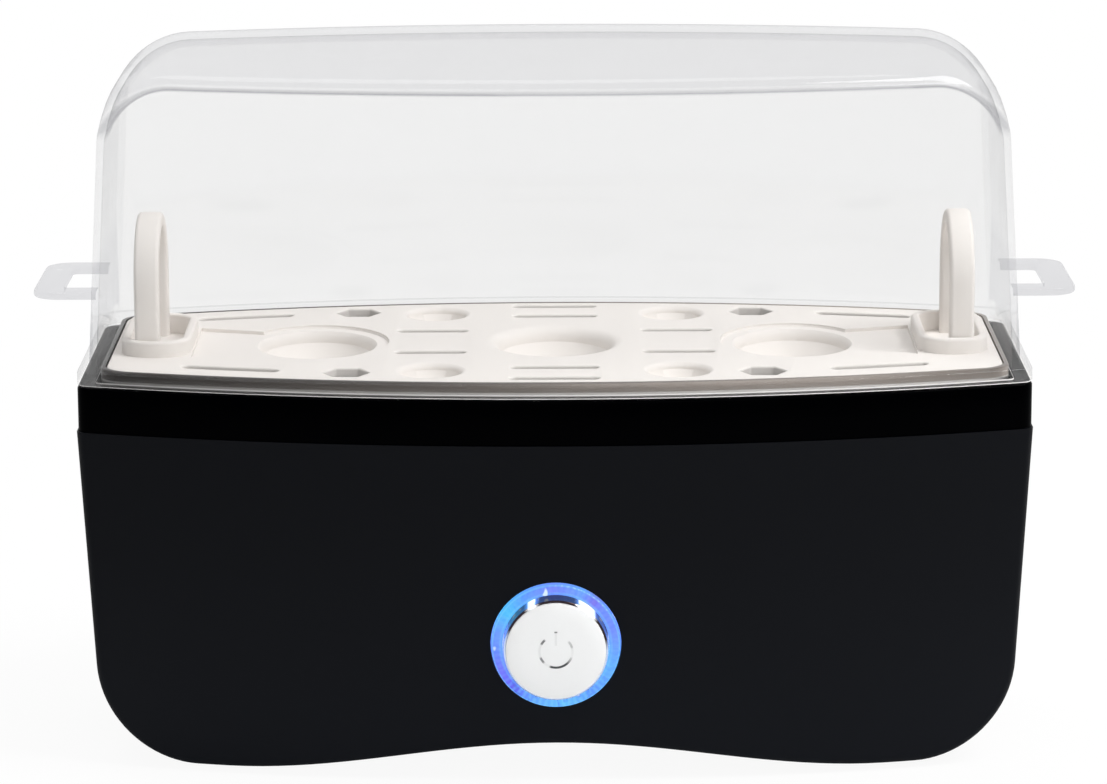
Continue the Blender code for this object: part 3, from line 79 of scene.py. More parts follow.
class EdgeGroup(Enum):
    """Edges of a squared block, named by the faces that they part."""

    CORNERS = "upright edges between an end and a sheet"
    TOP_ENDS = "edges between the top and an end"
    BOTTOM_ENDS = "edges between the bottom and an end"
    TOP_RIM = "all edges round the top"
    BOTTOM_RIM = "all edges round the bottom"
    SHEET_LOOP = "edges round the front and back sheets, without the lowest"
    SHEET_RING = "all edges round the front and back sheets but the highest"

    def holds(self, edge: bmesh.types.BMEdge) -> bool:
        """Tells whether an edge belongs to this group.

        Args:
            edge: an edge of the block that is being rounded.

        Returns:
            True where the directions of its two faces fit the group.
        """
        if len(edge.link_faces) != 2:
            return False
        one, two = (face.normal for face in edge.link_faces)
        tops = one.z > 0.9, two.z > 0.9
        bottoms = one.z < -0.9, two.z < -0.9
        ends = abs(one.x) > 0.9, abs(two.x) > 0.9
        sheets = abs(one.y) > 0.9, abs(two.y) > 0.9
        if self is EdgeGroup.CORNERS:
            return any(ends) and any(sheets)
        if self is EdgeGroup.TOP_ENDS:
            return any(tops) and any(ends)
        if self is EdgeGroup.BOTTOM_ENDS:
            return any(bottoms) and any(ends)
        if self is EdgeGroup.TOP_RIM:
            return tops[0] != tops[1]
        if self is EdgeGroup.BOTTOM_RIM:
            return bottoms[0] != bottoms[1]
        if self is EdgeGroup.SHEET_LOOP:
            return sheets[0] != sheets[1] and not any(bottoms)
        return sheets[0] != sheets[1] and not any(tops)


@dataclass(frozen=True)
class Rounding:
    """One group of edges and the radius that rounds it."""

    group: EdgeGroup
    radius: float
    segments: int = 6


class Workpiece:
    """A mesh on the bench, shaped step by step with the modelling operators."""

    def __init__(self, name: str) -> None:
        """Takes the primitive that was just added, and names it.

        Args:
            name: the name of the piece.
        """
        self.body = bpy.context.active_object
        self.body.name = name
        self.body.data.name = name
        bpy.ops.object.transform_apply(location=True, rotation=True, scale=True)

    @staticmethod
    def clear_bench() -> None:
        """Leaves edit mode and deselects everything."""
        if bpy.context.mode != "OBJECT":
            bpy.ops.object.mode_set(mode="OBJECT")
        bpy.ops.object.select_all(action="DESELECT")

    @classmethod
    def cube(cls, name: str, low: Place, high: Place) -> "Workpiece":
        """Adds a squared block between two corners.

        Args:
            name: the name of the piece.
            low: its lowest corner.
            high: its highest corner.

        Returns:
            The new piece.
        """
        cls.clear_bench()
        middle = [(a + b) / 2 for a, b in zip(low, high)]
        size = [b - a for a, b in zip(low, high)]
        bpy.ops.mesh.primitive_cube_add(size=1.0, location=middle, scale=size)
        return cls(name)

    @classmethod
    def turned(
        cls, name: str, profile: Profile, facets: int = 96, centre: Place = (0.0, 0.0, 0.0), stretch: float = 1.0
    ) -> "Workpiece":
        """Draws a disc up along Z through a profile of radius and height.

        Args:
            name: the name of the piece.
            profile: pairs of radius and height, from one end to the other.
            facets: how many sides the disc has.
            centre: the point that the heights are counted from.
            stretch: how much longer the piece is along Y than along X.

        Returns:
            The new closed piece.
        """
        cls.clear_bench()
        x, y, z = centre
        radius, height = profile[0]
        bpy.ops.mesh.primitive_circle_add(
            vertices=facets, radius=radius, fill_type="NGON", location=(x, y, z + height)
        )
        piece = cls(name)
        piece.select(Part.FACES, lambda face: True)
        piece.draw_up(profile, centre)
        if stretch != 1.0:
            piece.resize(lambda vertex: True, (1.0, stretch, 1.0), centre)
        piece.tidy()
        return piece

    @classmethod
    def turned_ring(cls, name: str, profile: Profile, facets: int = 128) -> "Workpiece":
        """Draws a circle round a closed profile about the Z axis and bridges its two ends.

        Args:
            name: the name of the piece.
            profile: pairs of radius and height, once round the ring's section.
            facets: how many sides the circle has.

        Returns:
            The new closed piece.
        """
        cls.clear_bench()
        radius, height = profile[0]
        bpy.ops.mesh.primitive_circle_add(vertices=facets, radius=radius, location=(0.0, 0.0, height))
        piece = cls(name)
        piece.select(Part.EDGES, lambda edge: True)
        piece.draw_up(profile, (0.0, 0.0, 0.0))
        piece.select(Part.EDGES, lambda edge: edge.is_boundary)
        bpy.ops.mesh.bridge_edge_loops()
        piece.tidy()
        return piece

    def draw_up(self, profile: Profile, centre: Place) -> None:
        """Extrudes what is selected from point to point of a profile.

        Args:
            profile: pairs of radius and height; the first is where the selection lies.
            centre: the point on the axis that everything is resized about.
        """
        for (radius, height), (wider, higher) in zip(profile, profile[1:]):
            move = {"value": (0.0, 0.0, higher - height)}
            bpy.ops.mesh.extrude_region_move(TRANSFORM_OT_translate=move)
            share = wider / radius
            bpy.ops.transform.resize(value=(share, share, 1.0), center_override=centre)

    def enter(self, kind: Part) -> bmesh.types.BMesh:
        """Opens the piece in edit mode.

        Args:
            kind: the kind of element that is about to be selected.

        Returns:
            The mesh that edit mode works on.
        """
        if bpy.context.mode != "OBJECT" and bpy.context.active_object is not self.body:
            bpy.ops.object.mode_set(mode="OBJECT")
        if bpy.context.mode == "OBJECT":
            self.clear_bench()
            self.body.select_set(True)
            bpy.context.view_layer.objects.active = self.body
            bpy.ops.object.mode_set(mode="EDIT")
        bpy.ops.mesh.select_mode(type=kind.value)
        bpy.ops.mesh.select_all(action="DESELECT")
        return bmesh.from_edit_mesh(self.body.data)

    def leave(self) -> None:
        """Closes edit mode and leaves only this piece selected."""
        self.clear_bench()
        self.body.select_set(True)
        bpy.context.view_layer.objects.active = self.body

    def select(self, kind: Part, test: Callable[..., bool]) -> list[float]:
        """Selects the elements that pass a test.

        Args:
            kind: vertices, edges or faces.
            test: says of one element whether it is selected.

        Returns:
            The turn between the two faces of each selected edge, or nothing for other kinds.
        """
        mesh = self.enter(kind)
        items = {Part.VERTS: mesh.verts, Part.EDGES: mesh.edges, Part.FACES: mesh.faces}[kind]
        turns = []
        for item in items:
            if test(item):
                item.select_set(True)
                if kind is Part.EDGES:
                    turns.append(item.calc_face_angle(0.0))
        bmesh.update_edit_mesh(self.body.data)
        return turns

    def round_edges(self, test: Callable[[bmesh.types.BMEdge], bool], radius: float, segments: int = 4) -> None:
        """Bevels the edges that pass a test to a true radius.

        Args:
            test: says of one edge whether it is rounded.
            radius: the radius of the rounding.
            segments: how many faces it is made of.
        """
        turns = self.select(Part.EDGES, test)
        if turns:
            reach = radius * math.tan(max(turns) / 2)
            bpy.ops.mesh.bevel(
                offset=reach, segments=segments, profile=0.5, affect="EDGES", clamp_overlap=False
            )

    def round_groups(self, roundings: Sequence[Rounding]) -> None:
        """Rounds one group of edges after the other.

        Args:
            roundings: the groups and their radii, in order.
        """
        for rounding in roundings:
            self.round_edges(rounding.group.holds, rounding.radius, rounding.segments)

    def resize(self, test: Callable[[bmesh.types.BMVert], bool], shares: Place, centre: Place) -> None:
        """Scales the vertices that pass a test about a point.

        Args:
            test: says of one vertex whether it is moved.
            shares: the scale along X, Y and Z.
            centre: the point that stays where it is.
        """
        self.select(Part.VERTS, test)
        bpy.ops.transform.resize(value=shares, center_override=centre)

    def slice_across(self, axis: int, places: Sequence[float]) -> None:
        """Cuts the faces with planes across one axis.

        Args:
            axis: 0 for X, 1 for Y and 2 for Z.
            places: where each plane stands on that axis.
        """
        way = tuple(float(axis == index) for index in range(3))
        for place in places:
            self.enter(Part.VERTS)
            bpy.ops.mesh.select_all(action="SELECT")
            bpy.ops.mesh.bisect(plane_co=[place * share for share in way], plane_no=way)

    def shift_vertices(self, rule: Callable[[Vector], Place]) -> None:
        """Slides the vertices in groups that share one move.

        Args:
            rule: gives the move of a vertex from where it stands.
        """
        mesh = self.enter(Part.VERTS)
        groups: dict[Place, list[int]] = {}
        for vertex in mesh.verts:
            move = tuple(round(amount, 5) for amount in rule(vertex.co))
            if any(move):
                groups.setdefault(move, []).append(vertex.index)
        for move, members in groups.items():
            mesh = self.enter(Part.VERTS)
            mesh.verts.ensure_lookup_table()
            for index in members:
                mesh.verts[index].select_set(True)
            bpy.ops.transform.translate(value=move)

    def combine(self, tool: "Workpiece", way: Merge) -> None:
        """Applies a Boolean with another piece, which is used up.

        Args:
            tool: the piece that cuts, joins or bounds this one.
            way: which of these it does.
        """
        tool.tidy()
        self.leave()
        modifier = self.body.modifiers.new("combine", "BOOLEAN")
        modifier.operation = way.value
        modifier.solver = "EXACT"
        modifier.object = tool.body
        bpy.ops.object.modifier_apply(modifier=modifier.name)
        bpy.data.objects.remove(tool.body)

    def tidy(self) -> None:
        """Merges doubles and turns every face outwards."""
        self.enter(Part.VERTS)
        bpy.ops.mesh.select_all(action="SELECT")
        bpy.ops.mesh.remove_doubles(threshold=1e-6)
        bpy.ops.mesh.normals_make_consistent(inside=False)
        self.leave()

    def stand_in(self, place: Matrix) -> None:
        """Moves a piece that was made upright at the origin to its place, and applies that.

        Args:
            place: where its own axes lie in the frame.
        """
        self.leave()
        self.body.matrix_world = place
        bpy.ops.object.transform_apply(location=True, rotation=True, scale=True)

    def finish(self, body: str, slot: str, material: bpy.types.Material, nodes: Sequence[str]) -> None:
        """Smooths the piece, dresses it and hands it to the frame.

        Args:
            body: the CAD body that it rides on.
            slot: the record's material slot; not used.
            material: its finish.
            nodes: the CAD nodes that it stands for.
        """
        self.tidy()
        bpy.ops.object.shade_smooth_by_angle(angle=math.radians(32.0))
        self.body.data.materials.clear()
        self.body.data.materials.append(material)
        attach(self.body, body)
        if nodes:
            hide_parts(*nodes)
        LOG.info("%s: %d faces on body %s", self.body.name, len(self.body.data.polygons), body)


@dataclass(frozen=True)
class BodyPlan:
    """The bowed plan that every shell of the boiler follows."""

    half_width: float = 0.125
    half_depth: float = 0.060
    sheet_radius: float = 0.42068
    columns: int = 58

    def sheet_y(self, x: float, inset: float = 0.0) -> float:
        """Gives the distance of the back sheet from the middle plane at x, drawn in by an inset."""
        reach = self.sheet_radius - inset
        return math.sqrt(reach**2 - min(abs(x), self.half_width) ** 2) - self.sheet_radius + self.half_depth

    def block(
        self, name: str, levels: tuple[float, float], insets: tuple[float, float], roundings: Sequence[Rounding]
    ) -> Workpiece:
        """Makes a solid block with the bowed plan.

        Args:
            name: the name of the piece.
            levels: its lowest and highest Z.
            insets: how far it is drawn in from the plan at these levels.
            roundings: the edges that are rounded while the block is still straight.

        Returns:
            The bowed block.
        """
        block = self.straight_block(name, levels, insets, roundings)
        self.bow(block, levels, insets)
        return block

    def straight_block(
        self, name: str, levels: tuple[float, float], insets: tuple[float, float], roundings: Sequence[Rounding]
    ) -> Workpiece:
        """Makes the same block before it is bowed, with flat front and back.

        Args:
            name: the name of the piece.
            levels: its lowest and highest Z.
            insets: how far it is drawn in from the plan at these levels.
            roundings: the edges that are rounded.

        Returns:
            The straight block.
        """
        low, high = levels
        wide, deep = self.half_width - insets[0], self.half_depth - insets[0]
        block = Workpiece.cube(name, (-wide, -deep, low), (wide, deep, high))
        shares = ((self.half_width - insets[1]) / wide, (self.half_depth - insets[1]) / deep, 1.0)
        block.resize(lambda vertex: vertex.co.z > (low + high) / 2, shares, (0.0, 0.0, high))
        block.round_groups(roundings)
        return block

    def bow(self, block: Workpiece, levels: tuple[float, float], insets: tuple[float, float]) -> None:
        """Slices a straight block into columns and slides each to the bowed sheets.

        Args:
            block: the straight block.
            levels: its lowest and highest Z.
            insets: how far it is drawn in from the plan at these levels.
        """
        reach = self.half_width - min(insets)
        block.slice_across(0, [reach * (2 * step / self.columns - 1) for step in range(1, self.columns)])

        def slide(place: Vector) -> Place:
            """Gives a vertex its way from the straight block to the bowed sheet."""
            share = (place.z - levels[0]) / (levels[1] - levels[0])
            inset = insets[0] + (insets[1] - insets[0]) * share
            fall = self.half_depth - inset - self.sheet_y(place.x, inset)
            return (0.0, -math.copysign(fall, place.y), 0.0)

        block.shift_vertices(slide)


PLAN = BodyPlan()


class Wire:
    """A number on a node's socket, with Python's arithmetic on it."""

    def __init__(self, tree: bpy.types.NodeTree, socket: bpy.types.NodeSocket) -> None:
        """Wraps an output socket of a tree."""
        self.tree = tree
        self.socket = socket

    def apply(self, operation: str, *others: "Wire | float", first: "Wire | float | None" = None) -> "Wire":
        """Adds one Math node.

        Args:
            operation: the Math node's operation.
            others: what follows the first input.
            first: the first input, where it isn't this wire.

        Returns:
            The node's result.
        """
        node = self.tree.nodes.new("ShaderNodeMath")
        node.operation = operation
        for socket, value in zip(node.inputs, (self if first is None else first, *others)):
            if isinstance(value, Wire):
                self.tree.links.new(value.socket, socket)
            else:
                socket.default_value = value
        return Wire(self.tree, node.outputs[0])

    def __add__(self, other: "Wire | float") -> "Wire":
        """Adds."""
        return self.apply("ADD", other)

    def __radd__(self, other: float) -> "Wire":
        """Adds to a plain number."""
        return self.apply("ADD", other)

    def __sub__(self, other: "Wire | float") -> "Wire":
        """Subtracts."""
        return self.apply("SUBTRACT", other)

    def __rsub__(self, other: float) -> "Wire":
        """Subtracts from a plain number."""
        return self.apply("SUBTRACT", self, first=other)

    def __mul__(self, other: "Wire | float") -> "Wire":
        """Multiplies."""
        return self.apply("MULTIPLY", other)

    def __rmul__(self, other: float) -> "Wire":
        """Multiplies a plain number."""
        return self.apply("MULTIPLY", other)

    def __truediv__(self, other: "Wire | float") -> "Wire":
        """Divides."""
        return self.apply("DIVIDE", other)

    def __pow__(self, other: float) -> "Wire":
        """Raises to a power."""
        return self.apply("POWER", other)

    def band(self, centre: "Wire | float", half_width: float, blur: float) -> "Wire":
        """Gives 1 inside a band of values and 0 outside it, with a soft edge.

        Args:
            centre: the middle of the band.
            half_width: half its width.
            blur: how far its edge fades.

        Returns:
            The mask.
        """
        return ((half_width - (self - centre).apply("ABSOLUTE")) / blur + 0.5).clamp()

    def above(self, limit: float, blur: float) -> "Wire":
        """Gives 1 over a limit and 0 under it, with a soft edge."""
        return ((self - limit) / blur + 0.5).clamp()

    def clamp(self) -> "Wire":
        """Keeps the value between 0 and 1."""
        return self.apply("MAXIMUM", 0.0).apply("MINIMUM", 1.0)


class Graph:
    """The node tree of one material, with one method for any node."""

    def __init__(self, name: str) -> None:
        """Starts an empty material.

        Args:
            name: the name of the material.
        """
        self.material = bpy.data.materials.new(name)
        self.material.use_nodes = True
        self.tree = self.material.node_tree
        self.tree.nodes.clear()
        self.output = self.node("ShaderNodeOutputMaterial", {}, {})

    def node(self, kind: str, settings: dict[str, object], inputs: dict[str | int, object]) -> bpy.types.Node:
        """Adds a node.

        Args:
            kind: its type.
            settings: its own settings, which are set first; stops holds a ramp's places and colours.
            inputs: the values or links of its sockets, by name or number.

        Returns:
            The new node.
        """
        node = self.tree.nodes.new(kind)
        for name, value in settings.items():
            if name == "stops":
                self.set_stops(node.color_ramp, value)
            else:
                setattr(node, name, value)
        for name, value in inputs.items():
            if isinstance(value, Wire):
                self.tree.links.new(value.socket, node.inputs[name])
            elif isinstance(value, bpy.types.NodeSocket):
                self.tree.links.new(value, node.inputs[name])
            elif isinstance(value, tuple) and len(value) == 3 and node.inputs[name].type == "RGBA":
                node.inputs[name].default_value = (*value, 1.0)
            else:
                node.inputs[name].default_value = value
        return node

    @staticmethod
    def set_stops(ramp: bpy.types.ColorRamp, stops: Sequence[tuple[float, Colour]]) -> None:
        """Sets a ramp's stops.

        Args:
            ramp: the ramp of a new node, which has two stops.
            stops: pairs of place and colour.
        """
        while len(ramp.elements) < len(stops):
            ramp.elements.new(1.0)
        for element, (place, colour) in zip(ramp.elements, stops):
            element.position = place
            element.color = (*colour, 1.0)

    def wire(self, node: bpy.types.Node, output: str | int = 0) -> Wire:
        """Gives a node's output as a number to work with."""
        return Wire(self.tree, node.outputs[output])

    def place(self, matrix: Matrix | None = None) -> bpy.types.NodeSocket:
        """Gives Object coordinates, as seen from another frame if one is given.

        Args:
            matrix: the frame whose own coordinates are wanted.

        Returns:
            The coordinates' socket.
        """
        where = self.node("ShaderNodeTexCoord", {}, {}).outputs["Object"]
        if matrix is None:
            return where
        turn = matrix.inverted()
        settings = {"vector_type": "POINT"}
        values = {"Vector": where, "Location": turn.to_translation(), "Rotation": turn.to_euler()}
        return self.node("ShaderNodeMapping", settings, values).outputs[0]

    def axes(self, where: bpy.types.NodeSocket) -> tuple[Wire, Wire, Wire]:
        """Splits coordinates into X, Y and Z."""
        parts = self.node("ShaderNodeSeparateXYZ", {}, {0: where})
        return self.wire(parts, 0), self.wire(parts, 1), self.wire(parts, 2)

    def noise(self, where: bpy.types.NodeSocket, scale: float, detail: float = 3.0, rough: float = 0.55) -> Wire:
        """Gives cloudy noise between about 0.2 and 0.8.

        Args:
            where: the coordinates that it follows.
            scale: clouds per metre.
            detail: how many finer layers it has.
            rough: how strong these are.

        Returns:
            The noise.
        """
        values = {"Vector": where, "Scale": scale, "Detail": detail, "Roughness": rough}
        return self.wire(self.node("ShaderNodeTexNoise", {}, values), 0)

    def blend(self, share: "Wire | float", one: object, two: object, way: str = "MIX") -> bpy.types.NodeSocket:
        """Mixes two colours.

        Args:
            share: how much of the second shows.
            one: the first colour or its socket.
            two: the second colour or its socket.
            way: the Mix node's blend type.

        Returns:
            The mixed colour's socket.
        """
        settings = {"data_type": "RGBA", "blend_type": way}
        return self.node("ShaderNodeMix", settings, {0: share, 6: one, 7: two}).outputs[2]

    def bump(self, height: Wire, strength: float, depth: float) -> bpy.types.NodeSocket:
        """Turns a height into a normal.

        Args:
            height: the height, from 0 to 1.
            strength: how much of it shows.
            depth: what 1 stands for in metres.

        Returns:
            The normal's socket.
        """
        values = {"Height": height, "Strength": strength, "Distance": depth}
        return self.node("ShaderNodeBump", {}, values).outputs[0]

    def mixed(
        self, share: "Wire | float", one: bpy.types.NodeSocket, two: bpy.types.NodeSocket
    ) -> bpy.types.NodeSocket:
        """Mixes two shaders.

        Args:
            share: how much of the second shows.
            one: the first shader's output.
            two: the second shader's output.

        Returns:
            The mixed shader's output.
        """
        return self.node("ShaderNodeMixShader", {}, {0: share, 1: one, 2: two}).outputs[0]

    def surface(self, shader: bpy.types.NodeSocket) -> bpy.types.Material:
        """Puts a shader on the surface and gives the finished material."""
        self.tree.links.new(shader, self.output.inputs["Surface"])
        return self.material

    def principled(self, inputs: dict[str | int, object]) -> bpy.types.NodeSocket:
        """Adds a Principled shader with these inputs and gives its output."""
        return self.node("ShaderNodeBsdfPrincipled", {}, inputs).outputs[0]


@dataclass(frozen=True)
class MouldedPlastic:
    """Opaque plastic with a fine moulded grain and faint mottling."""

    name: str
    colour: Colour
    deep_colour: Colour
    roughness: float
    spread: float = 0.08
    grain: float = 900.0
    grain_depth: float = 0.00002
    specular: float = 0.5
    foot_colour: Colour | None = None
    foot_height: float = 0.08

    def material(self) -> bpy.types.Material:
        """Builds the material."""
        graph = Graph(self.name)
        where = graph.place()
        clouds = graph.noise(where, 28.0)
        grain = graph.noise(where, self.grain, 2.0)
        colour = graph.blend((clouds * 1.6 - 0.3).clamp(), self.deep_colour, self.colour)
        # Towards the bottom, up to foot_height, the colour blends into foot_colour, which on the satin black housing
        # is lighter and bluer.
        if self.foot_colour:
            height = graph.axes(where)[2]
            colour = graph.blend((1 - height / self.foot_height).clamp() ** 1.5, colour, self.foot_colour)
        inputs = {
            "Base Color": colour,
            "Roughness": self.roughness + (clouds - 0.5) * self.spread + (grain - 0.5) * self.spread,
            "Specular IOR Level": self.specular,
            "Normal": graph.bump(grain, 0.5, self.grain_depth),
        }
        return graph.surface(graph.principled(inputs))


@dataclass(frozen=True)
class WorkedMetal:
    """Metal with drawn lines along X, faint blotches and dulled patches."""

    name: str
    colour: Colour
    deep_colour: Colour
    roughness: float
    line_scale: Place = (14.0, 700.0, 700.0)
    line_depth: float = 0.00001

    def material(self) -> bpy.types.Material:
        """Builds the material."""
        graph = Graph(self.name)
        where = graph.place()
        stretched = graph.node("ShaderNodeMapping", {}, {"Vector": where, "Scale": self.line_scale}).outputs[0]
        lines = graph.noise(stretched, 1.0, 4.0, 0.6)
        clouds = graph.noise(where, 45.0)
        inputs = {
            "Base Color": graph.blend((clouds * 1.5 - 0.25).clamp(), self.deep_colour, self.colour),
            "Metallic": 1.0,
            "Roughness": self.roughness + (lines - 0.5) * 0.12 + (clouds - 0.5) * 0.08,
            "Normal": graph.bump(lines, 0.35, self.line_depth),
        }
        return graph.surface(graph.principled(inputs))


@dataclass(frozen=True)
class IvoryPlastic:
    """Smooth ivory plastic of the tray, with painted shade that makes it warmer and darker in its slots, hollows and
    corners.
    """

    name: str = "ivory_plastic"
    colour: Colour = (0.90, 0.855, 0.82)
    # deep_colour: the colour of the painted shade in slots, hollows and corners.
    deep_colour: Colour = (0.42, 0.31, 0.24)
    reach: float = 0.007
    plate_z: float = 0.1068

    def material(self) -> bpy.types.Material:
        """Builds the material."""
        graph = Graph(self.name)
        where = graph.place()
        grain = graph.noise(where, 900.0, 2.0)
        clouds = graph.noise(where, 30.0)
        # Painted shade: ambient occlusion darkens the colour where little open sky reaches.
        settings = {"samples": 8, "only_local": True}
        open_sky = graph.wire(graph.node("ShaderNodeAmbientOcclusion", settings, {"Distance": self.reach}), "AO")
        height = graph.axes(where)[2]
        turned = graph.node("ShaderNodeNewGeometry", {}, {}).outputs["Normal"]
        tilt = graph.axes(turned)[2].apply("ABSOLUTE")
        # Painted shade on the upright walls of the slots, just below the plate's top.
        painted_slot_wall_shade = (1 - tilt.above(0.55, 0.2)) * height.band(self.plate_z - 0.0014, 0.0011, 0.0004)
        shade = ((1 - open_sky) * 1.7 - 0.06 + (clouds - 0.5) * 0.05).clamp().apply("MAXIMUM", painted_slot_wall_shade * 0.85)
        inputs = {
            "Base Color": graph.blend(shade, self.colour, self.deep_colour),
            "Roughness": 0.20 + (clouds - 0.5) * 0.06 + (grain - 0.5) * 0.05,
            "Specular IOR Level": 0.5,
            "Coat Weight": 0.15,
            "Coat Roughness": 0.06,
            "Normal": graph.bump(grain, 0.4, 0.00001),
        }
        return graph.surface(graph.principled(inputs))


@dataclass(frozen=True)
class DishSteel:
    """Pressed steel of the dish, with painted light: its upright lip is painted darker towards the left and near
    black along its top edge as painted shade, and bright along its front bend as a painted highlight.
    """

    name: str = "pressed_steel"
    bend_z: float = 0.1042
    rim_z: float = 0.1065

    def material(self) -> bpy.types.Material:
        """Builds the material."""
        graph = Graph(self.name)
        where = graph.place()
        across, along, height = graph.axes(where)
        stretched = graph.node("ShaderNodeMapping", {}, {"Vector": where, "Scale": (9.0, 60.0, 900.0)}).outputs[0]
        lines = graph.noise(stretched, 1.0, 3.0, 0.5)
        # Painted shade: the lip's colour runs from near black on the left to grey on the right.
        painted_light_sweep = ((across + 0.115) / 0.19).clamp()
        wall = graph.blend(painted_light_sweep, (0.030, 0.025, 0.022), (0.44, 0.385, 0.345))
        # Painted shadow: a near-black line along the top edge of the lip at the front and sides, weaker towards the
        # right.
        rim = height.above(self.rim_z, 0.0002) * (1 - along.above(0.035, 0.01))
        # Painted highlight: a bright line along the front bend of the lip, stronger towards the right.
        painted_bend_highlight = 1 - height.above(self.bend_z, 0.0003)
        basin = 1 - height.above(0.1030, 0.0002)
        shade = graph.blend(painted_bend_highlight * (1 - along.above(-0.02, 0.02)) * (0.25 + painted_light_sweep * 0.75), wall, (0.95, 0.93, 0.91))
        shade = graph.blend(rim * (1 - painted_light_sweep * 0.7), shade, (0.05, 0.042, 0.038))
        shade = graph.blend(basin, shade, (0.60, 0.57, 0.54))
        inputs = {
            "Base Color": graph.blend(lines * 0.16, shade, (0.0, 0.0, 0.0)),
            "Metallic": 1.0,
            "Roughness": 0.30 + (lines - 0.5) * 0.10,
            "Normal": graph.bump(lines, 0.25, 0.000006),
        }
        return graph.surface(graph.principled(inputs))


@dataclass(frozen=True)
class ClearLidPlastic:
    """Polished clear plastic, which mirrors more where it is seen edge on. Its see-through tint carries painted
    light: a greyer tint on the level top and the handles as painted reflection, a dark line along the front shoulder
    and a grey tint where it is seen edge on as painted shade, and a glowing pale line along the flange's foot as a
    painted highlight.
    """

    name: str = "clear_lid_plastic"
    film: Colour = (0.972, 0.972, 0.972)
    painted_top_reflection_tint: Colour = (0.905, 0.905, 0.91)
    painted_crease_shade_tint: Colour = (0.62, 0.62, 0.64)
    painted_edge_shade_tint: Colour = (0.66, 0.66, 0.67)
    painted_grip_reflection_tint: Colour = (0.86, 0.86, 0.87)
    straight_mirror: float = 0.025
    edge_mirror: float = 0.22
    foot_z: float = 0.10385
    shoulder_z: float = 0.168
    back_z: float = 0.182
    grip_x: float = 0.1207

    def material(self) -> bpy.types.Material:
        """Builds the material."""
        graph = Graph(self.name)
        where = graph.place()
        across, along, height = graph.axes(where)
        ripple = graph.noise(where, 22.0, 2.0)
        normal = graph.bump(ripple, 0.04, 0.0006)
        facing = graph.wire(graph.node("ShaderNodeLayerWeight", {}, {"Blend": 0.5}), "Facing")
        # Painted shade: a grey tint where the plastic is seen edge on.
        edge = (facing ** 22.0 + (ripple - 0.5) * 0.02).clamp()
        turned = graph.node("ShaderNodeNewGeometry", {}, {}).outputs["Normal"]
        tilt = graph.axes(turned)[2].apply("ABSOLUTE")
        high = height.above(self.shoulder_z, 0.004)
        back = along.above(0.03, 0.01)
        # Painted reflection: the level top, its back and the shoulder get the greyer top tint.
        level = (tilt.above(0.45, 0.2) * high).apply("MAXIMUM", back * height.above(self.back_z, 0.002))
        # Painted shade: a dark line along the bend of the front shoulder.
        painted_crease_mask = tilt.band(0.27, 0.10, 0.12) * high * (1 - facing ** 6.0) * (1 - back)
        grips = across.apply("ABSOLUTE").above(self.grip_x, 0.0004) * height.above(0.11, 0.001)
        clear = graph.mixed(level, self.layer(graph, self.film), self.layer(graph, self.painted_top_reflection_tint))
        clear = graph.mixed(edge * (1 - grips), clear, self.layer(graph, self.painted_edge_shade_tint))
        clear = graph.mixed(painted_crease_mask * 0.75, clear, self.layer(graph, self.painted_crease_shade_tint))
        # Painted reflection: the handles get a greyer tint.
        clear = graph.mixed(grips, clear, self.layer(graph, self.painted_grip_reflection_tint))
        shine = graph.node(
            "ShaderNodeBsdfGlossy", {},
            {"Color": (0.95, 0.95, 0.95), "Roughness": 0.02 + graph.noise(where, 60.0) * 0.03, "Normal": normal},
        ).outputs[0]
        mirror = self.straight_mirror + (facing ** 7.0) * self.edge_mirror
        mixed = graph.mixed(mirror, clear, shine)
        # Painted highlight: a pale glowing line along the flange's foot, brighter towards the right.
        foot = (1 - height.above(self.foot_z, 0.0001)) * (1 - tilt.above(0.7, 0.2))
        pale = graph.principled({"Base Color": (0.92, 0.90, 0.89), "Roughness": 0.35, "Emission Strength": 0.35,
                                 "Emission Color": (1.0, 0.97, 0.95)})
        line = foot * (0.35 + ((across + 0.11) / 0.15).clamp() * 0.55)
        return graph.surface(graph.mixed(line, mixed, pale))

    @staticmethod
    def layer(graph: Graph, tint: Colour) -> bpy.types.NodeSocket:
        """Gives a clear layer that takes one even tint from what shows through it."""
        return graph.node("ShaderNodeBsdfTransparent", {}, {"Color": tint}).outputs[0]


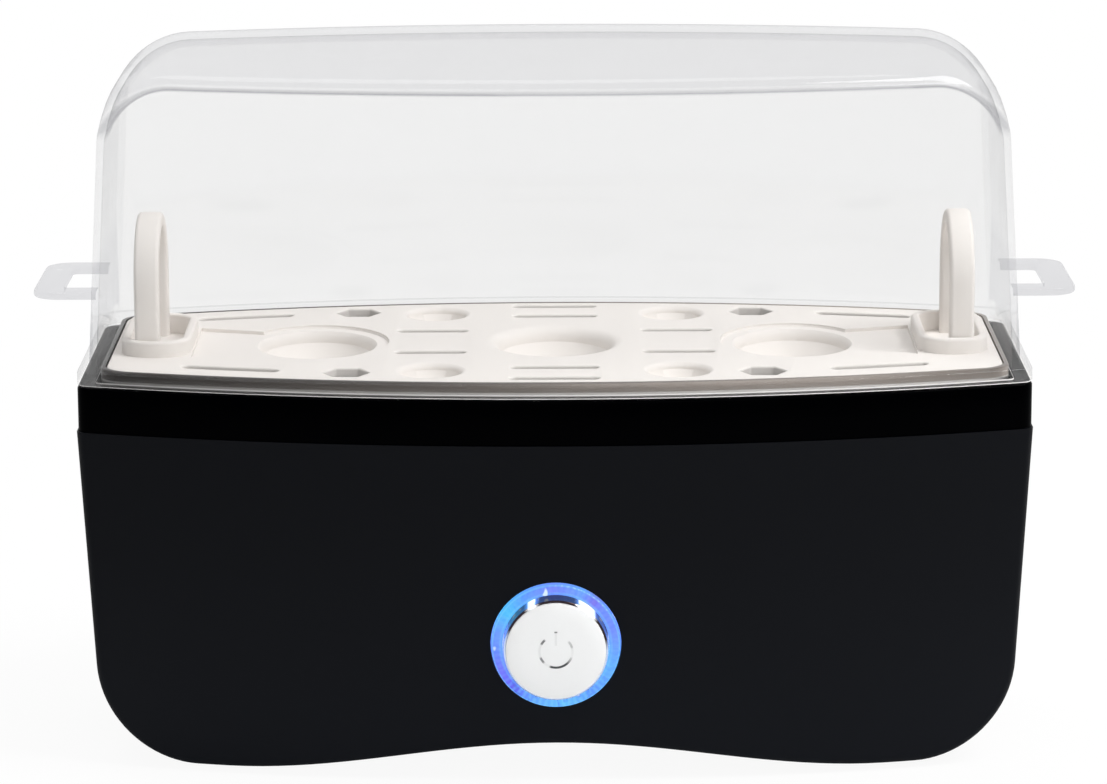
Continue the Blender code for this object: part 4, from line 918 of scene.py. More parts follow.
@dataclass(frozen=True)
class LitRingPlastic:
    """Blue lit plastic of the button's ring, with cyan and violet patches and cut facets below."""

    name: str = "lit_ring_plastic"
    outer_radius: float = 0.0166
    inner_radius: float = 0.0144
    facets: int = 64

    def material(self) -> bpy.types.Material:
        """Builds the material."""
        graph = Graph(self.name)
        across, up, _ = graph.axes(graph.place(BUTTON_FRAME))
        radius = (across * across + up * up) ** 0.5
        turn = up.apply("ARCTAN2", across) / (2 * math.pi) + 0.5
        stops = [
            (0.00, (0.130, 0.270, 1.0)), (0.07, (0.150, 0.150, 0.96)), (0.13, (0.085, 0.070, 0.70)),
            (0.19, (0.100, 0.330, 1.0)), (0.27, (0.110, 0.480, 1.0)), (0.36, (0.075, 0.250, 1.0)),
            (0.44, (0.100, 0.400, 1.0)), (0.54, (0.150, 0.250, 1.0)), (0.61, (0.140, 0.240, 1.0)),
            (0.64, (0.180, 0.140, 0.66)), (0.68, (0.130, 0.320, 1.0)), (0.76, (0.160, 0.210, 1.0)),
            (0.83, (0.095, 0.300, 1.0)), (0.90, (0.060, 0.500, 1.0)), (0.96, (0.130, 0.300, 1.0)),
            (1.00, (0.130, 0.270, 1.0)),
        ]
        colours = graph.node("ShaderNodeValToRGB", {"stops": stops}, {0: turn}).outputs[0]
        wave = (turn * (2 * math.pi * self.facets)).apply("SINE") * 0.5 + 0.5
        cut = wave * turn.band(0.26, 0.16, 0.08)
        chips = graph.noise(graph.place(), 520.0, 1.0).above(0.57, 0.10)
        rim = radius.band(self.outer_radius, 0.0002, 0.0002)
        bore = radius.band(self.inner_radius, 0.0004, 0.0004)
        sparks = graph.noise(graph.place(), 260.0, 1.0).above(0.70, 0.04)
        lit = graph.blend((cut * 0.30 + rim * 0.45 + bore * 0.30).clamp(), colours, (0.20, 0.62, 1.0))
        lit = graph.blend((chips * (cut * 0.5 + 0.12)).clamp(), lit, (0.03, 0.08, 0.55))
        lit = graph.blend((sparks * 0.8).clamp(), lit, (0.80, 0.95, 1.0))
        inputs = {
            "Base Color": graph.blend(wave, (0.01, 0.03, 0.16), (0.015, 0.04, 0.20)),
            "Roughness": 0.10 + wave * 0.1,
            "Emission Color": lit,
            "Emission Strength": 1.0,
            "Normal": graph.bump(wave, 0.5, 0.0003),
        }
        return graph.surface(graph.principled(inputs))


@dataclass(frozen=True)
class TrimChrome:
    """Bright plating of the button's trim, with painted reflections: dark arcs above, where it would mirror the
    band, and two glowing white highlights where it would mirror the lamps.
    """

    name: str = "chrome_plating"

    def material(self) -> bpy.types.Material:
        """Builds the material."""
        graph = Graph(self.name)
        across, up, _ = graph.axes(graph.place(BUTTON_FRAME))
        turn = up.apply("ARCTAN2", across) / (2 * math.pi) + 0.5
        # Painted reflections: dark arcs and white highlights round the trim.
        stops = [
            (0.00, (0.60, 0.70, 0.90)), (0.50, (0.60, 0.70, 0.90)), (0.535, (0.03, 0.02, 0.016)),
            (0.60, (0.03, 0.02, 0.016)), (0.615, (0.95, 0.95, 0.97)), (0.675, (0.95, 0.95, 0.97)),
            (0.69, (0.03, 0.018, 0.014)), (0.80, (0.03, 0.018, 0.014)), (0.815, (0.95, 0.95, 1.0)),
            (0.84, (0.95, 0.95, 1.0)), (0.855, (0.03, 0.018, 0.016)), (0.93, (0.03, 0.018, 0.02)),
            (0.95, (0.45, 0.55, 0.80)), (1.00, (0.60, 0.70, 0.90)),
        ]
        colours = graph.node("ShaderNodeValToRGB", {"stops": stops}, {0: turn}).outputs[0]
        haze = graph.noise(graph.place(), 200.0)
        # Painted highlights, which glow through the emission.
        painted_lamp_highlights = turn.band(0.645, 0.03, 0.01) + turn.band(0.8275, 0.012, 0.006)
        inputs = {
            "Base Color": graph.blend(haze * 0.12, colours, (0.05, 0.05, 0.06)),
            "Metallic": 1.0,
            "Roughness": 0.14 + haze * 0.08,
            "Emission Color": graph.blend(painted_lamp_highlights.clamp(), (0.012, 0.010, 0.018), (0.95, 0.95, 1.0)),
            "Emission Strength": 0.9,
        }
        return graph.surface(graph.principled(inputs))


@dataclass(frozen=True)
class ButtonCapPlastic:
    """White cap plastic with the generic power sign pressed into it; the sign is painted dark as the painted shade
    of its groove.
    """

    name: str = "button_cap_plastic"
    sign_radius: float = 0.0043
    sign_line: float = 0.00030

    def material(self) -> bpy.types.Material:
        """Builds the material."""
        graph = Graph(self.name)
        across, up, _ = graph.axes(graph.place(BUTTON_FRAME))
        radius = (across * across + up * up) ** 0.5
        turn = up.apply("ARCTAN2", across) / (2 * math.pi) + 0.5
        ring = radius.band(self.sign_radius, self.sign_line, 0.00012)
        # Painted shade of the sign's groove: dark and light dashes round its ring.
        stops = [
            (0.00, (0.10,) * 3), (0.05, (0.10,) * 3), (0.07, (0.75,) * 3), (0.11, (0.75,) * 3), (0.13, (0.06,) * 3),
            (0.18, (0.06,) * 3), (0.20, (1.0,) * 3), (0.36, (1.0,) * 3), (0.43, (0.35,) * 3), (0.45, (0.05,) * 3),
            (0.53, (0.10,) * 3), (0.55, (0.45,) * 3), (0.60, (0.35,) * 3), (0.62, (0.0,) * 3), (0.86, (0.0,) * 3),
            (0.875, (0.85,) * 3), (0.915, (0.85,) * 3), (0.93, (0.10,) * 3),
        ]
        painted_groove_shade = Wire(graph.tree, graph.node("ShaderNodeValToRGB", {"stops": stops}, {0: turn}).outputs[0])
        bar = across.band(0.0, self.sign_line, 0.00012) * up.band(0.0036, 0.0019, 0.0002)
        tip = across.band(0.0, self.sign_line * 1.3, 0.00012) * up.band(0.0053, 0.0002, 0.0001)
        sign = (ring * painted_groove_shade + bar * 0.10 + tip * 0.7).clamp()
        grain = graph.noise(graph.place(), 900.0, 2.0)
        inputs = {
            "Base Color": graph.blend(sign, (0.90, 0.905, 0.905), (0.04, 0.045, 0.05)),
            "Roughness": 0.32 + grain * 0.08,
            "Normal": graph.bump(1 - sign, 0.4, 0.0002),
        }
        return graph.surface(graph.principled(inputs))


BUTTON_FRAME = (
    Matrix.Translation((0.0, -(PLAN.half_depth - (0.0913 - 0.0375) * math.tan(math.radians(3.0)) + 0.0003), 0.0375))
    @ Matrix.Rotation(math.radians(93.0), 4, "X")
)


class Finish(Enum):
    """Every finish of the boiler, each built once."""

    SATIN_BLACK = MouldedPlastic("satin_black_plastic", (0.0024, 0.0029, 0.0044), (0.0018, 0.0023, 0.0037), 0.50,
                                 specular=0.07, foot_colour=(0.0052, 0.0062, 0.0088))
    GLOSS_BLACK = MouldedPlastic("gloss_black_plastic", (0.0001, 0.0002, 0.0004), (0.0001, 0.0001, 0.0003), 0.16,
                                 spread=0.04, grain_depth=0.000004, specular=0.008)
    IVORY = IvoryPlastic()
    STEEL = DishSteel()
    ALUMINIUM = WorkedMetal("cast_aluminium", (0.62, 0.63, 0.64), (0.50, 0.51, 0.52), 0.45)
    ZINC = WorkedMetal("zinc_plated_steel", (0.60, 0.60, 0.58), (0.48, 0.48, 0.46), 0.34)
    CHROME = TrimChrome()
    CLEAR = ClearLidPlastic()
    LIT_RING = LitRingPlastic()
    CAP = ButtonCapPlastic()
    SILICONE = MouldedPlastic("grey_silicone", (0.30, 0.30, 0.31), (0.25, 0.25, 0.26), 0.60)
    RUBBER = MouldedPlastic("black_rubber", (0.014, 0.014, 0.014), (0.009, 0.009, 0.009), 0.78, specular=0.3)
    WHITE = MouldedPlastic("white_plastic", (0.78, 0.78, 0.77), (0.72, 0.72, 0.71), 0.38)
    BOARD = MouldedPlastic("board_laminate", (0.020, 0.115, 0.045), (0.014, 0.085, 0.032), 0.36)
    COMPONENT = MouldedPlastic("component_plastic", (0.012, 0.012, 0.013), (0.008, 0.008, 0.009), 0.5)
    LENS = MouldedPlastic("led_lens", (0.35, 0.50, 0.92), (0.28, 0.42, 0.86), 0.15)
    LEAD = MouldedPlastic("lead_insulation", (0.55, 0.53, 0.50), (0.48, 0.46, 0.43), 0.42)

    def material(self) -> bpy.types.Material:
        """Gives this finish's material, built on first use."""
        return bpy.data.materials.get(self.value.name) or self.value.material()


@dataclass
class HousingShell:
    """Satin lower housing: bowed, tapered, rounded at its lower corners and waved underneath."""

    bottom: float = 0.0015
    top: float = 0.0913
    wall: float = 0.0025
    proud: float = 0.0003
    taper: float = math.radians(3.0)
    lower_corner: float = 0.027
    edge: float = 0.0018
    wave_rise: float = 0.0086
    wave_half_length: float = 0.088
    ring_radius: float = 0.0168
    gland_neck: float = 0.0051
    gland_z: float = 0.030

    def inset(self, z: float) -> float:
        """Gives how far the outer face lies inside the plan at a height."""
        return (self.top - z) * math.tan(self.taper) - self.proud

    def wave(self, x: float) -> float:
        """Gives how far the lower edge is lifted at x."""
        if abs(x) >= self.wave_half_length:
            return 0.0
        return self.wave_rise * (1 + math.cos(math.pi * x / self.wave_half_length)) / 2

    def build(self) -> None:
        """Models the housing with its cavity and its two round openings."""
        levels = (self.bottom, self.top)
        insets = (self.inset(self.bottom), self.inset(self.top))
        roundings = [
            Rounding(EdgeGroup.BOTTOM_ENDS, self.lower_corner, 20),
            Rounding(EdgeGroup.SHEET_RING, self.edge, 5),
        ]
        shell = PLAN.block("housing_shell", levels, insets, roundings)
        crest = self.bottom + 1.5 * self.edge

        def lift(place: Vector) -> Place:
            """Gives a vertex its rise to the wavy bottom edge."""
            return (0.0, 0.0, self.wave(place.x) if place.z < crest else 0.0)

        shell.shift_vertices(lift)
        shell.combine(self.cavity(), Merge.CUT)
        for name, radius, place in (
            ("button_hole", self.ring_radius + 0.0003, BUTTON_FRAME),
            ("gland_hole", self.gland_neck + 0.0003, self.gland_frame()),
        ):
            drill = Workpiece.turned(name, [(radius, -OVERRUN), (radius, OVERRUN)], 96)
            drill.stand_in(place)
            shell.combine(drill, Merge.CUT)
        shell.finish("base", "satin_black", Finish.SATIN_BLACK.material(), ["lower_housing"])

    def cavity(self) -> Workpiece:
        """Models the inside of the housing, open above and below."""
        low, high = self.bottom - OVERRUN, self.top + OVERRUN
        insets = (self.inset(low) + self.wall, self.inset(high) + self.wall)
        room = PLAN.block("housing_room", (low, high), insets, [Rounding(EdgeGroup.CORNERS, 0.001, 3)])
        reach = PLAN.half_width - insets[0]
        floor = self.bottom + self.wall
        for side in (-1, 1):
            low_corner = (min(side * 0.098, side * (reach + OVERRUN)), -PLAN.half_depth, low - OVERRUN)
            high_corner = (max(side * 0.098, side * (reach + OVERRUN)), PLAN.half_depth, floor)
            room.combine(Workpiece.cube("room_end", low_corner, high_corner), Merge.CUT)
        room.round_edges(
            lambda edge: self.is_low_end(edge, floor, reach), self.lower_corner - self.wall, 16
        )
        return room

    @staticmethod
    def is_low_end(edge: bmesh.types.BMEdge, floor: float, reach: float) -> bool:
        """Tells whether an edge runs along the outer foot of an end wall."""
        return all(abs(end.co.z - floor) < 1e-4 and abs(end.co.x) > reach - 0.006 for end in edge.verts) and (
            abs(edge.verts[0].co.y - edge.verts[1].co.y) > 0.02
        )

    def gland_frame(self) -> Matrix:
        """Gives the frame of the gland's hole in the back wall."""
        y = PLAN.half_depth - self.inset(self.gland_z)
        return Matrix.Translation((0.0, y, self.gland_z)) @ Matrix.Rotation(-math.pi / 2 - self.taper, 4, "X")


@dataclass
class GlossBand:
    """Gloss band round the top, with the lid's seat, the dish's shelf and a skirt inside the housing."""

    bottom: float = 0.0916
    top: float = 0.1032
    edge: float = 0.0006
    corner: float = 0.003
    rim_width: float = 0.0048
    shelf_drop: float = 0.0029
    shelf_inset: float = 0.0084
    shelf_thickness: float = 0.002
    skirt_depth: float = 0.0093
    skirt_insets: tuple[float, float] = (0.0030, 0.0026)
    skirt_wall: float = 0.0024

    def build(self) -> None:
        """Models the band as a block with its seat and openings cut out of it."""
        corners = Rounding(EdgeGroup.CORNERS, self.corner, 8)
        rims = [Rounding(EdgeGroup.TOP_RIM, self.edge, 3)]
        band = PLAN.block("gloss_band", (self.bottom, self.top), (0.0, 0.0), [corners, *rims])
        low = self.bottom - self.skirt_depth
        skirt_levels = (low, self.bottom + self.edge)
        band.combine(PLAN.block("band_skirt", skirt_levels, self.skirt_insets, [corners]), Merge.JOIN)
        shelf = self.top - self.shelf_drop
        for name, levels, inset in (
            ("band_seat", (shelf, self.top + OVERRUN), self.rim_width),
            ("band_mouth", (low - OVERRUN, self.top + OVERRUN), self.shelf_inset),
            ("band_skirt_room", (low - OVERRUN, shelf - self.shelf_thickness),
             self.skirt_insets[0] + self.skirt_wall),
        ):
            band.combine(PLAN.block(name, levels, (inset, inset), [corners]), Merge.CUT)
        band.finish("base", "gloss_black", Finish.GLOSS_BLACK.material(), ["upper_bezel"])


@dataclass
class WaterDish:
    """Pressed steel dish: basin, ledge under the tray and upright lip inside the lid's flange."""

    basin_inset: float = 0.0090
    lip_inset: float = 0.0055
    lip_sheet: float = 0.0012
    sheet: float = 0.001
    bottom: float = 0.0860
    ledge_bottom: float = 0.1021
    lip_top: float = 0.1068
    corner: float = 0.006
    floor_edge: float = 0.003

    def build(self) -> None:
        """Models the dish as two blocks with their insides cut out."""
        corners = Rounding(EdgeGroup.CORNERS, self.corner, 8)
        rolled = Rounding(EdgeGroup.TOP_RIM, self.lip_sheet / 3, 2)
        ledge_top = self.ledge_bottom + self.sheet
        lip_inner = self.lip_inset + self.lip_sheet
        dish = PLAN.block(
            "water_dish", (self.ledge_bottom, self.lip_top), (self.lip_inset, self.lip_inset), [corners, rolled]
        )
        foot = Rounding(EdgeGroup.BOTTOM_RIM, self.floor_edge, 4)
        basin = PLAN.block(
            "dish_basin", (self.bottom, self.ledge_bottom + self.sheet / 2),
            (self.basin_inset, self.basin_inset), [corners, foot],
        )
        dish.combine(basin, Merge.JOIN)
        inner = self.basin_inset + self.sheet
        soft = Rounding(EdgeGroup.BOTTOM_RIM, self.floor_edge - self.sheet, 4)
        room = PLAN.block(
            "dish_room", (self.bottom + self.sheet, self.lip_top + OVERRUN), (inner, inner), [corners, soft]
        )
        dish.combine(room, Merge.CUT)
        mouth = PLAN.block("dish_mouth", (ledge_top, self.lip_top + OVERRUN), (lip_inner, lip_inner), [corners])
        dish.combine(mouth, Merge.CUT)
        dish.finish("base", "stainless_steel", Finish.STEEL.material(), ["heating_dish"])


@dataclass
class ClearLid:
    """Clear drafted dome with its rim flange and two flat loop handles, in one moulding."""

    flange_bottom: float = 0.1035
    flange_top: float = 0.1073
    flange_corner: float = 0.003
    flange_edge: float = 0.0005
    wall: float = 0.0019
    wall_inset: float = 0.0029
    height: float = 0.0808
    shoulder_drop: float = 0.0039
    shoulder_reach: float = 0.024
    draft: float = math.radians(3.0)
    side_radius: float = 0.020
    sheet_radius: float = 0.0032
    handle_reach: float = 0.0179
    handle_half_length: float = 0.022
    handle_bar: float = 0.0078
    handle_corner: float = 0.007
    handle_thickness: float = 0.002
    handle_rise: float = 0.0155
    handle_edge: float = 0.0006

    def dome(self, name: str, wall: float, foot: float) -> Workpiece:
        """Models the dome as a solid, drawn in by a wall.

        Args:
            name: the name of the piece.
            wall: how far inside the outer surface it lies.
            foot: the height of its lower face.

        Returns:
            The solid dome.
        """
        top = self.flange_top + self.height - wall
        slope = math.tan(self.draft)
        insets = tuple(self.wall_inset + wall + (z - self.flange_top) * slope for z in (foot, top))
        roundings = [
            Rounding(EdgeGroup.TOP_ENDS, self.side_radius - wall, 14),
            Rounding(EdgeGroup.SHEET_LOOP, self.sheet_radius - wall, 8),
        ]
        dome = PLAN.straight_block(name, (foot, top), insets, roundings)
        deep = PLAN.half_depth - insets[1]
        rows = [deep - self.shoulder_reach * step / 10 for step in range(1, 11)]
        dome.slice_across(1, [side * row for side in (-1, 1) for row in rows])

        def droop(place: Vector) -> Place:
            """Gives a vertex its fall into the soft front shoulder."""
            run = max(0.0, 1 - (deep - abs(place.y)) / self.shoulder_reach)
            lift = max(0.0, 1 - (top - place.z) / (1.6 * self.side_radius))
            return (0.0, 0.0, -self.shoulder_drop * run**2 * min(1.0, 1.6 * lift))

        dome.shift_vertices(droop)
        PLAN.bow(dome, (foot, top), insets)
        return dome

    def handle(self, side: int) -> Workpiece:
        """Models one loop handle, rooted in the dome's wall.

        Args:
            side: -1 for the left handle, 1 for the right one.

        Returns:
            The handle.
        """
        bottom = self.flange_top + self.handle_rise
        top = bottom + self.handle_thickness
        root = PLAN.half_width - self.wall_inset - (top - self.flange_top) * math.tan(self.draft) - 0.0008
        reach = root + self.handle_reach
        half = self.handle_half_length
        xs = sorted((side * root, side * reach))
        loop = Workpiece.cube("lid_handle", (xs[0], -half, bottom), (xs[1], half, top))
        loop.round_edges(
            lambda edge: all(abs(abs(end.co.x) - reach) < 1e-6 for end in edge.verts)
            and abs(edge.verts[0].co.z - edge.verts[1].co.z) > 1e-4,
            self.handle_corner, 10,
        )
        inner = half - self.handle_bar
        xs = sorted((side * (root - OVERRUN), side * (reach - self.handle_bar)))
        hole = Workpiece.cube("handle_hole", (xs[0], -inner, bottom - OVERRUN), (xs[1], inner, top + OVERRUN))
        hole.round_edges(
            lambda edge: all(abs(abs(end.co.x) - (reach - self.handle_bar)) < 1e-6 for end in edge.verts)
            and abs(edge.verts[0].co.z - edge.verts[1].co.z) > 1e-4,
            self.handle_corner / 4, 6,
        )
        loop.combine(hole, Merge.CUT)
        loop.round_edges(
            lambda edge: edge.calc_face_angle(0.0) > 1.0
            and abs(edge.verts[0].co.z - edge.verts[1].co.z) < 1e-6
            and max(abs(end.co.x) for end in edge.verts) > root + 1e-5,
            self.handle_edge, 3,
        )
        return loop

    def build(self) -> None:
        """Models the lid from its flange, dome and handles, then hollows it."""
        roundings = [
            Rounding(EdgeGroup.CORNERS, self.flange_corner, 8),
            Rounding(EdgeGroup.TOP_RIM, self.flange_edge, 3),
            Rounding(EdgeGroup.BOTTOM_RIM, self.flange_edge, 3),
        ]
        lid = PLAN.block("clear_lid", (self.flange_bottom, self.flange_top), (0.0, 0.0), roundings)
        middle = (self.flange_bottom + self.flange_top) / 2
        lid.combine(self.dome("lid_dome", 0.0, middle), Merge.JOIN)
        for side in (-1, 1):
            lid.combine(self.handle(side), Merge.JOIN)
        lid.combine(self.dome("lid_room", self.wall, self.flange_bottom - OVERRUN), Merge.CUT)
        lid.finish("lid", "clear_plastic", Finish.CLEAR.material(), ["lid"])


@dataclass
class EggTray:
    """Ivory tray with three egg cups, four small bowls, steam slots, collars and lifting arches."""

    inset: float = 0.0070
    bottom: float = 0.1034
    top: float = 0.1068
    plate: float = 0.0024
    skirt_wall: float = 0.0015
    corner: float = 0.006
    edge: float = 0.0006
    flare: float = 0.0006
    cup_spacing: float = 0.064
    cup_radii: Place = (0.0186, 0.0148, 0.0080)
    cup_depth: float = 0.0128
    cup_stretch: float = 1.16
    cup_wall: float = 0.0016
    drain_radius: float = 0.0028
    bowl_place: tuple[float, float] = (0.0325, 0.0377)
    bowl_radii: Place = (0.0095, 0.0078, 0.0042)
    bowl_depth: float = 0.0068
    bowl_stretch: float = 1.1
    recess_depth: float = 0.0009
    recess_margin: float = 0.0008
    neck_half_width: float = 0.0135
    mouth_half_width: float = 0.019
    hex_place: tuple[float, float] = (0.0545, 0.0398)
    hex_radius: float = 0.0062
    slot_width: float = 0.0036
    middle_slot_half_length: float = 0.0116
    middle_slot_ys: tuple[float, float] = (0.0342, 0.0478)
    side_slot: tuple[float, float] = (0.0332, 0.0142)
    side_slot_half_length: float = 0.0077
    end_slot_width: float = 0.0042
    end_slot_inset: float = 0.0166
    end_slot_xs: tuple[float, float] = (0.0745, 0.0960)
    collar_x: float = 0.1062
    collar_half_width: float = 0.0093
    collar_half_length: float = 0.0205
    collar_corner: float = 0.0085
    collar_wall: float = 0.0023
    collar_height: float = 0.0042
    pit_depth: float = 0.0012
    arch_x: float = 0.1083
    arch_width: float = 0.0066
    arch_half_span: float = 0.0178
    arch_band: float = 0.0042
    arch_height: float = 0.0355
    arch_edge: float = 0.0011
    gusset: tuple[float, float] = (0.0065, 0.0085)

    def hollow(self, name: str, radii: Place, depth: float, place: Place, stretch: float) -> Workpiece:
        """Models the cutter of an egg hollow, from its floor to above its filleted rim.

        Args:
            name: the name of the cutter.
            radii: the radii of the rim, the throat and the floor.
            depth: how deep the hollow is.
            place: its centre on the plate.
            stretch: how much longer it is along Y than along X.

        Returns:
            The cutter.
        """
        rim, throat, floor = radii
        fillet = rim - throat
        profile = [(floor * 0.7, -depth), (floor * 0.9, -depth * 0.985), (floor * 1.04, -depth * 0.94)]
        for step in range(9):
            turn = math.pi / 2 * step / 8
            profile.append((rim - fillet * math.cos(turn), -fillet * (1 - math.sin(turn))))
        profile.append((rim, OVERRUN))
        return Workpiece.turned(name, profile, 96, place, stretch)

    def slot(self, x: float, y: float, half_length: float, width: float) -> Workpiece:
        """Models the cutter of one steam slot, with its mouth flared.

        Args:
            x: its centre on X.
            y: its centre on Y.
            half_length: half the distance between the centres of its round ends.
            width: its width.

        Returns:
            The cutter.
        """
        half = half_length + width / 2
        low = self.top - self.plate - OVERRUN
        cutter = Workpiece.cube(
            "slot_cutter", (x - half, y - width / 2, low), (x + half, y + width / 2, self.top - self.flare)
        )
        cutter.round_edges(EdgeGroup.CORNERS.holds, width / 2 * 0.999, 10)
        self.flare_out(cutter, (x, y, self.top), (half, width / 2))
        return cutter

    def flare_out(self, cutter: Workpiece, centre: Place, halves: tuple[float, float]) -> None:
        """Draws a cutter's upper face up and outwards round a quarter, so that it leaves a soft edge.

        Args:
            cutter: the cutter, which ends a flare below the plate.
            centre: the middle of its mouth.
            halves: its half sizes along X and Y.
        """
        cutter.select(Part.FACES, lambda face: face.normal.z > 0.99)
        before = 0.0
        for step in range(1, 5):
            turn = math.pi / 2 * step / 4
            grown = self.flare * (1 - math.cos(turn))
            rise = self.flare * (math.sin(turn) - math.sin(turn - math.pi / 8))
            bpy.ops.mesh.extrude_region_move(TRANSFORM_OT_translate={"value": (0.0, 0.0, rise)})
            shares = [(half + grown) / (half + before) for half in halves]
            bpy.ops.transform.resize(value=(*shares, 1.0), center_override=centre)
            before = grown
        bpy.ops.mesh.extrude_region_move(TRANSFORM_OT_translate={"value": (0.0, 0.0, OVERRUN)})

    def end_slot(self, side_x: int, side_y: int) -> Workpiece:
        """Models the cutter of a curved slot near a corner of the tray.

        Args:
            side_x: -1 for left, 1 for right.
            side_y: -1 for front, 1 for back.

        Returns:
            The cutter.
        """
        inner, outer = self.end_slot_xs
        x = side_x * (inner + outer) / 2
        y = PLAN.sheet_y(x, self.end_slot_inset)
        cutter = self.slot(x, side_y * y, (outer - inner) / 2, self.end_slot_width)
        cutter.slice_across(0, [x + (outer - inner) * (step / 8 - 0.5) for step in range(9)])
        cutter.shift_vertices(
            lambda place: (0.0, side_y * (PLAN.sheet_y(place.x, self.end_slot_inset) - y), 0.0)
        )
        return cutter

    def hexagon(self, x: float, y: float) -> Workpiece:
        """Models the cutter of a six-sided steam hole, with its mouth flared."""
        radius = self.hex_radius
        low = self.top - self.plate - OVERRUN
        Workpiece.clear_bench()
        bpy.ops.mesh.primitive_cylinder_add(
            vertices=6, radius=radius, depth=self.top - self.flare - low,
            location=(x, y, (low + self.top - self.flare) / 2), rotation=(0.0, 0.0, math.pi / 2),
        )
        cutter = Workpiece("hex_cutter")
        cutter.round_edges(lambda edge: abs(edge.verts[0].co.z - edge.verts[1].co.z) > 1e-4, 0.0007, 3)
        self.flare_out(cutter, (x, y, self.top), (radius, radius))
        return cutter

    def shells(self, tray: Workpiece) -> None:
        """Joins the undersides of the hollows and the collars to the plate.

        Args:
            tray: the tray's plate.
        """
        cups = [(side * self.cup_spacing, 0.0, self.top) for side in (-1, 0, 1)]
        bowl_x, bowl_y = self.bowl_place
        bowls = [(x * bowl_x, y * bowl_y, self.top) for x in (-1, 1) for y in (-1, 1)]
        for places, radii, depth, stretch in (
            (cups, self.cup_radii, self.cup_depth, self.cup_stretch),
            (bowls, self.bowl_radii, self.bowl_depth, self.bowl_stretch),
        ):
            sink = -depth - self.cup_wall
            profile = [(radii[2] + self.cup_wall, sink), (radii[0] + self.cup_wall, -self.plate / 2)]
            for place in places:
                tray.combine(Workpiece.turned("tray_shell", profile, 72, place, stretch), Merge.JOIN)
        for side in (-1, 1):
            collar = self.oblong(
                side, self.collar_half_width, self.collar_half_length, self.collar_corner,
                self.top - self.plate / 2, self.top + self.collar_height,
            )
            collar.round_groups([Rounding(EdgeGroup.TOP_RIM, 0.0009, 4)])
            tray.combine(collar, Merge.JOIN)

    def oblong(
        self, side: int, half_x: float, half_y: float, corner: float, low: float, high: float
    ) -> Workpiece:
        """Models an upright block with rounded corners round a collar's centre."""
        x = side * self.collar_x
        block = Workpiece.cube("collar", (x - half_x, -half_y, low), (x + half_x, half_y, high))
        block.round_groups([Rounding(EdgeGroup.CORNERS, corner, 10)])
        return block

    def recess(self, side: int) -> Workpiece:
        """Models the cutter of the shallow recess round an outer cup, which opens towards its collar."""
        depth = self.top - self.recess_depth
        radius = self.cup_radii[0] + self.recess_margin
        place = (side * self.cup_spacing, 0.0, self.top)
        profile = [(radius - 0.0003, -self.recess_depth), (radius, -self.recess_depth / 2), (radius, OVERRUN)]
        disc = Workpiece.turned("recess_cutter", profile, 96, place, self.cup_stretch)
        mouth = self.collar_x - self.collar_half_width - 0.0003
        xs = sorted((side * (self.cup_spacing + radius * 0.72), side * mouth))
        neck = Workpiece.cube(
            "recess_neck", (xs[0], -self.neck_half_width, depth), (xs[1], self.neck_half_width, self.top + OVERRUN)
        )
        share = self.mouth_half_width / self.neck_half_width
        neck.resize(lambda vertex: abs(abs(vertex.co.x) - mouth) < 1e-5, (1.0, share, 1.0), (0.0, 0.0, 0.0))
        disc.combine(neck, Merge.JOIN)
        return disc

    def arch(self, side: int) -> Workpiece:
        """Models one lifting arch with rounded edges and the gusset at its front leg.

        Args:
            side: -1 for left, 1 for right.

        Returns:
            The arch.
        """
        x = side * self.arch_x
        half, foot = self.arch_half_span, self.top - self.pit_depth - 0.0008
        crest = self.top + self.arch_height
        wide = self.arch_width / 2
        band = Workpiece.cube("lifting_arch", (x - wide, -half, foot), (x + wide, half, crest))
        band.round_edges(lambda edge: self.is_crest(edge, crest), half * 0.999, 24)
        inner = half - self.arch_band
        gap = Workpiece.cube(
            "arch_gap", (x - 2 * wide, -inner, foot - OVERRUN), (x + 2 * wide, inner, crest - self.arch_band)
        )
        gap.round_edges(lambda edge: self.is_crest(edge, crest - self.arch_band), inner * 0.999, 24)
        band.combine(gap, Merge.CUT)
        band.round_edges(
            lambda edge: edge.calc_face_angle(0.0) > 0.8 and abs(edge.verts[0].co.x - edge.verts[1].co.x) < 1e-5
            and max(end.co.z for end in edge.verts) > foot + 1e-4,
            self.arch_edge, 4,
        )
        length, height = self.gusset
        root, thin = -inner - self.arch_band / 2, wide - self.arch_edge / 2
        web = Workpiece.cube(
            "arch_gusset", (x - thin, root, foot + 0.0001), (x + thin, -inner + length, self.top + height)
        )
        web.resize(
            lambda vertex: vertex.co.z > self.top and vertex.co.y > root + 1e-5, (1.0, 0.0, 1.0),
            (0.0, -inner + self.arch_edge, 0.0),
        )
        web.round_edges(
            lambda edge: min(end.co.y for end in edge.verts) > root + 1e-5 and max(
                end.co.z for end in edge.verts) > self.top and min(end.co.z for end in edge.verts) < self.top,
            self.arch_edge, 3,
        )
        band.combine(web, Merge.JOIN)
        return band

    @staticmethod
    def is_crest(edge: bmesh.types.BMEdge, crest: float) -> bool:
        """Tells whether an edge runs across the top of an arch's squared blank."""
        along = abs(edge.verts[0].co.x - edge.verts[1].co.x) > 1e-4
        return along and all(abs(end.co.z - crest) < 1e-6 for end in edge.verts)

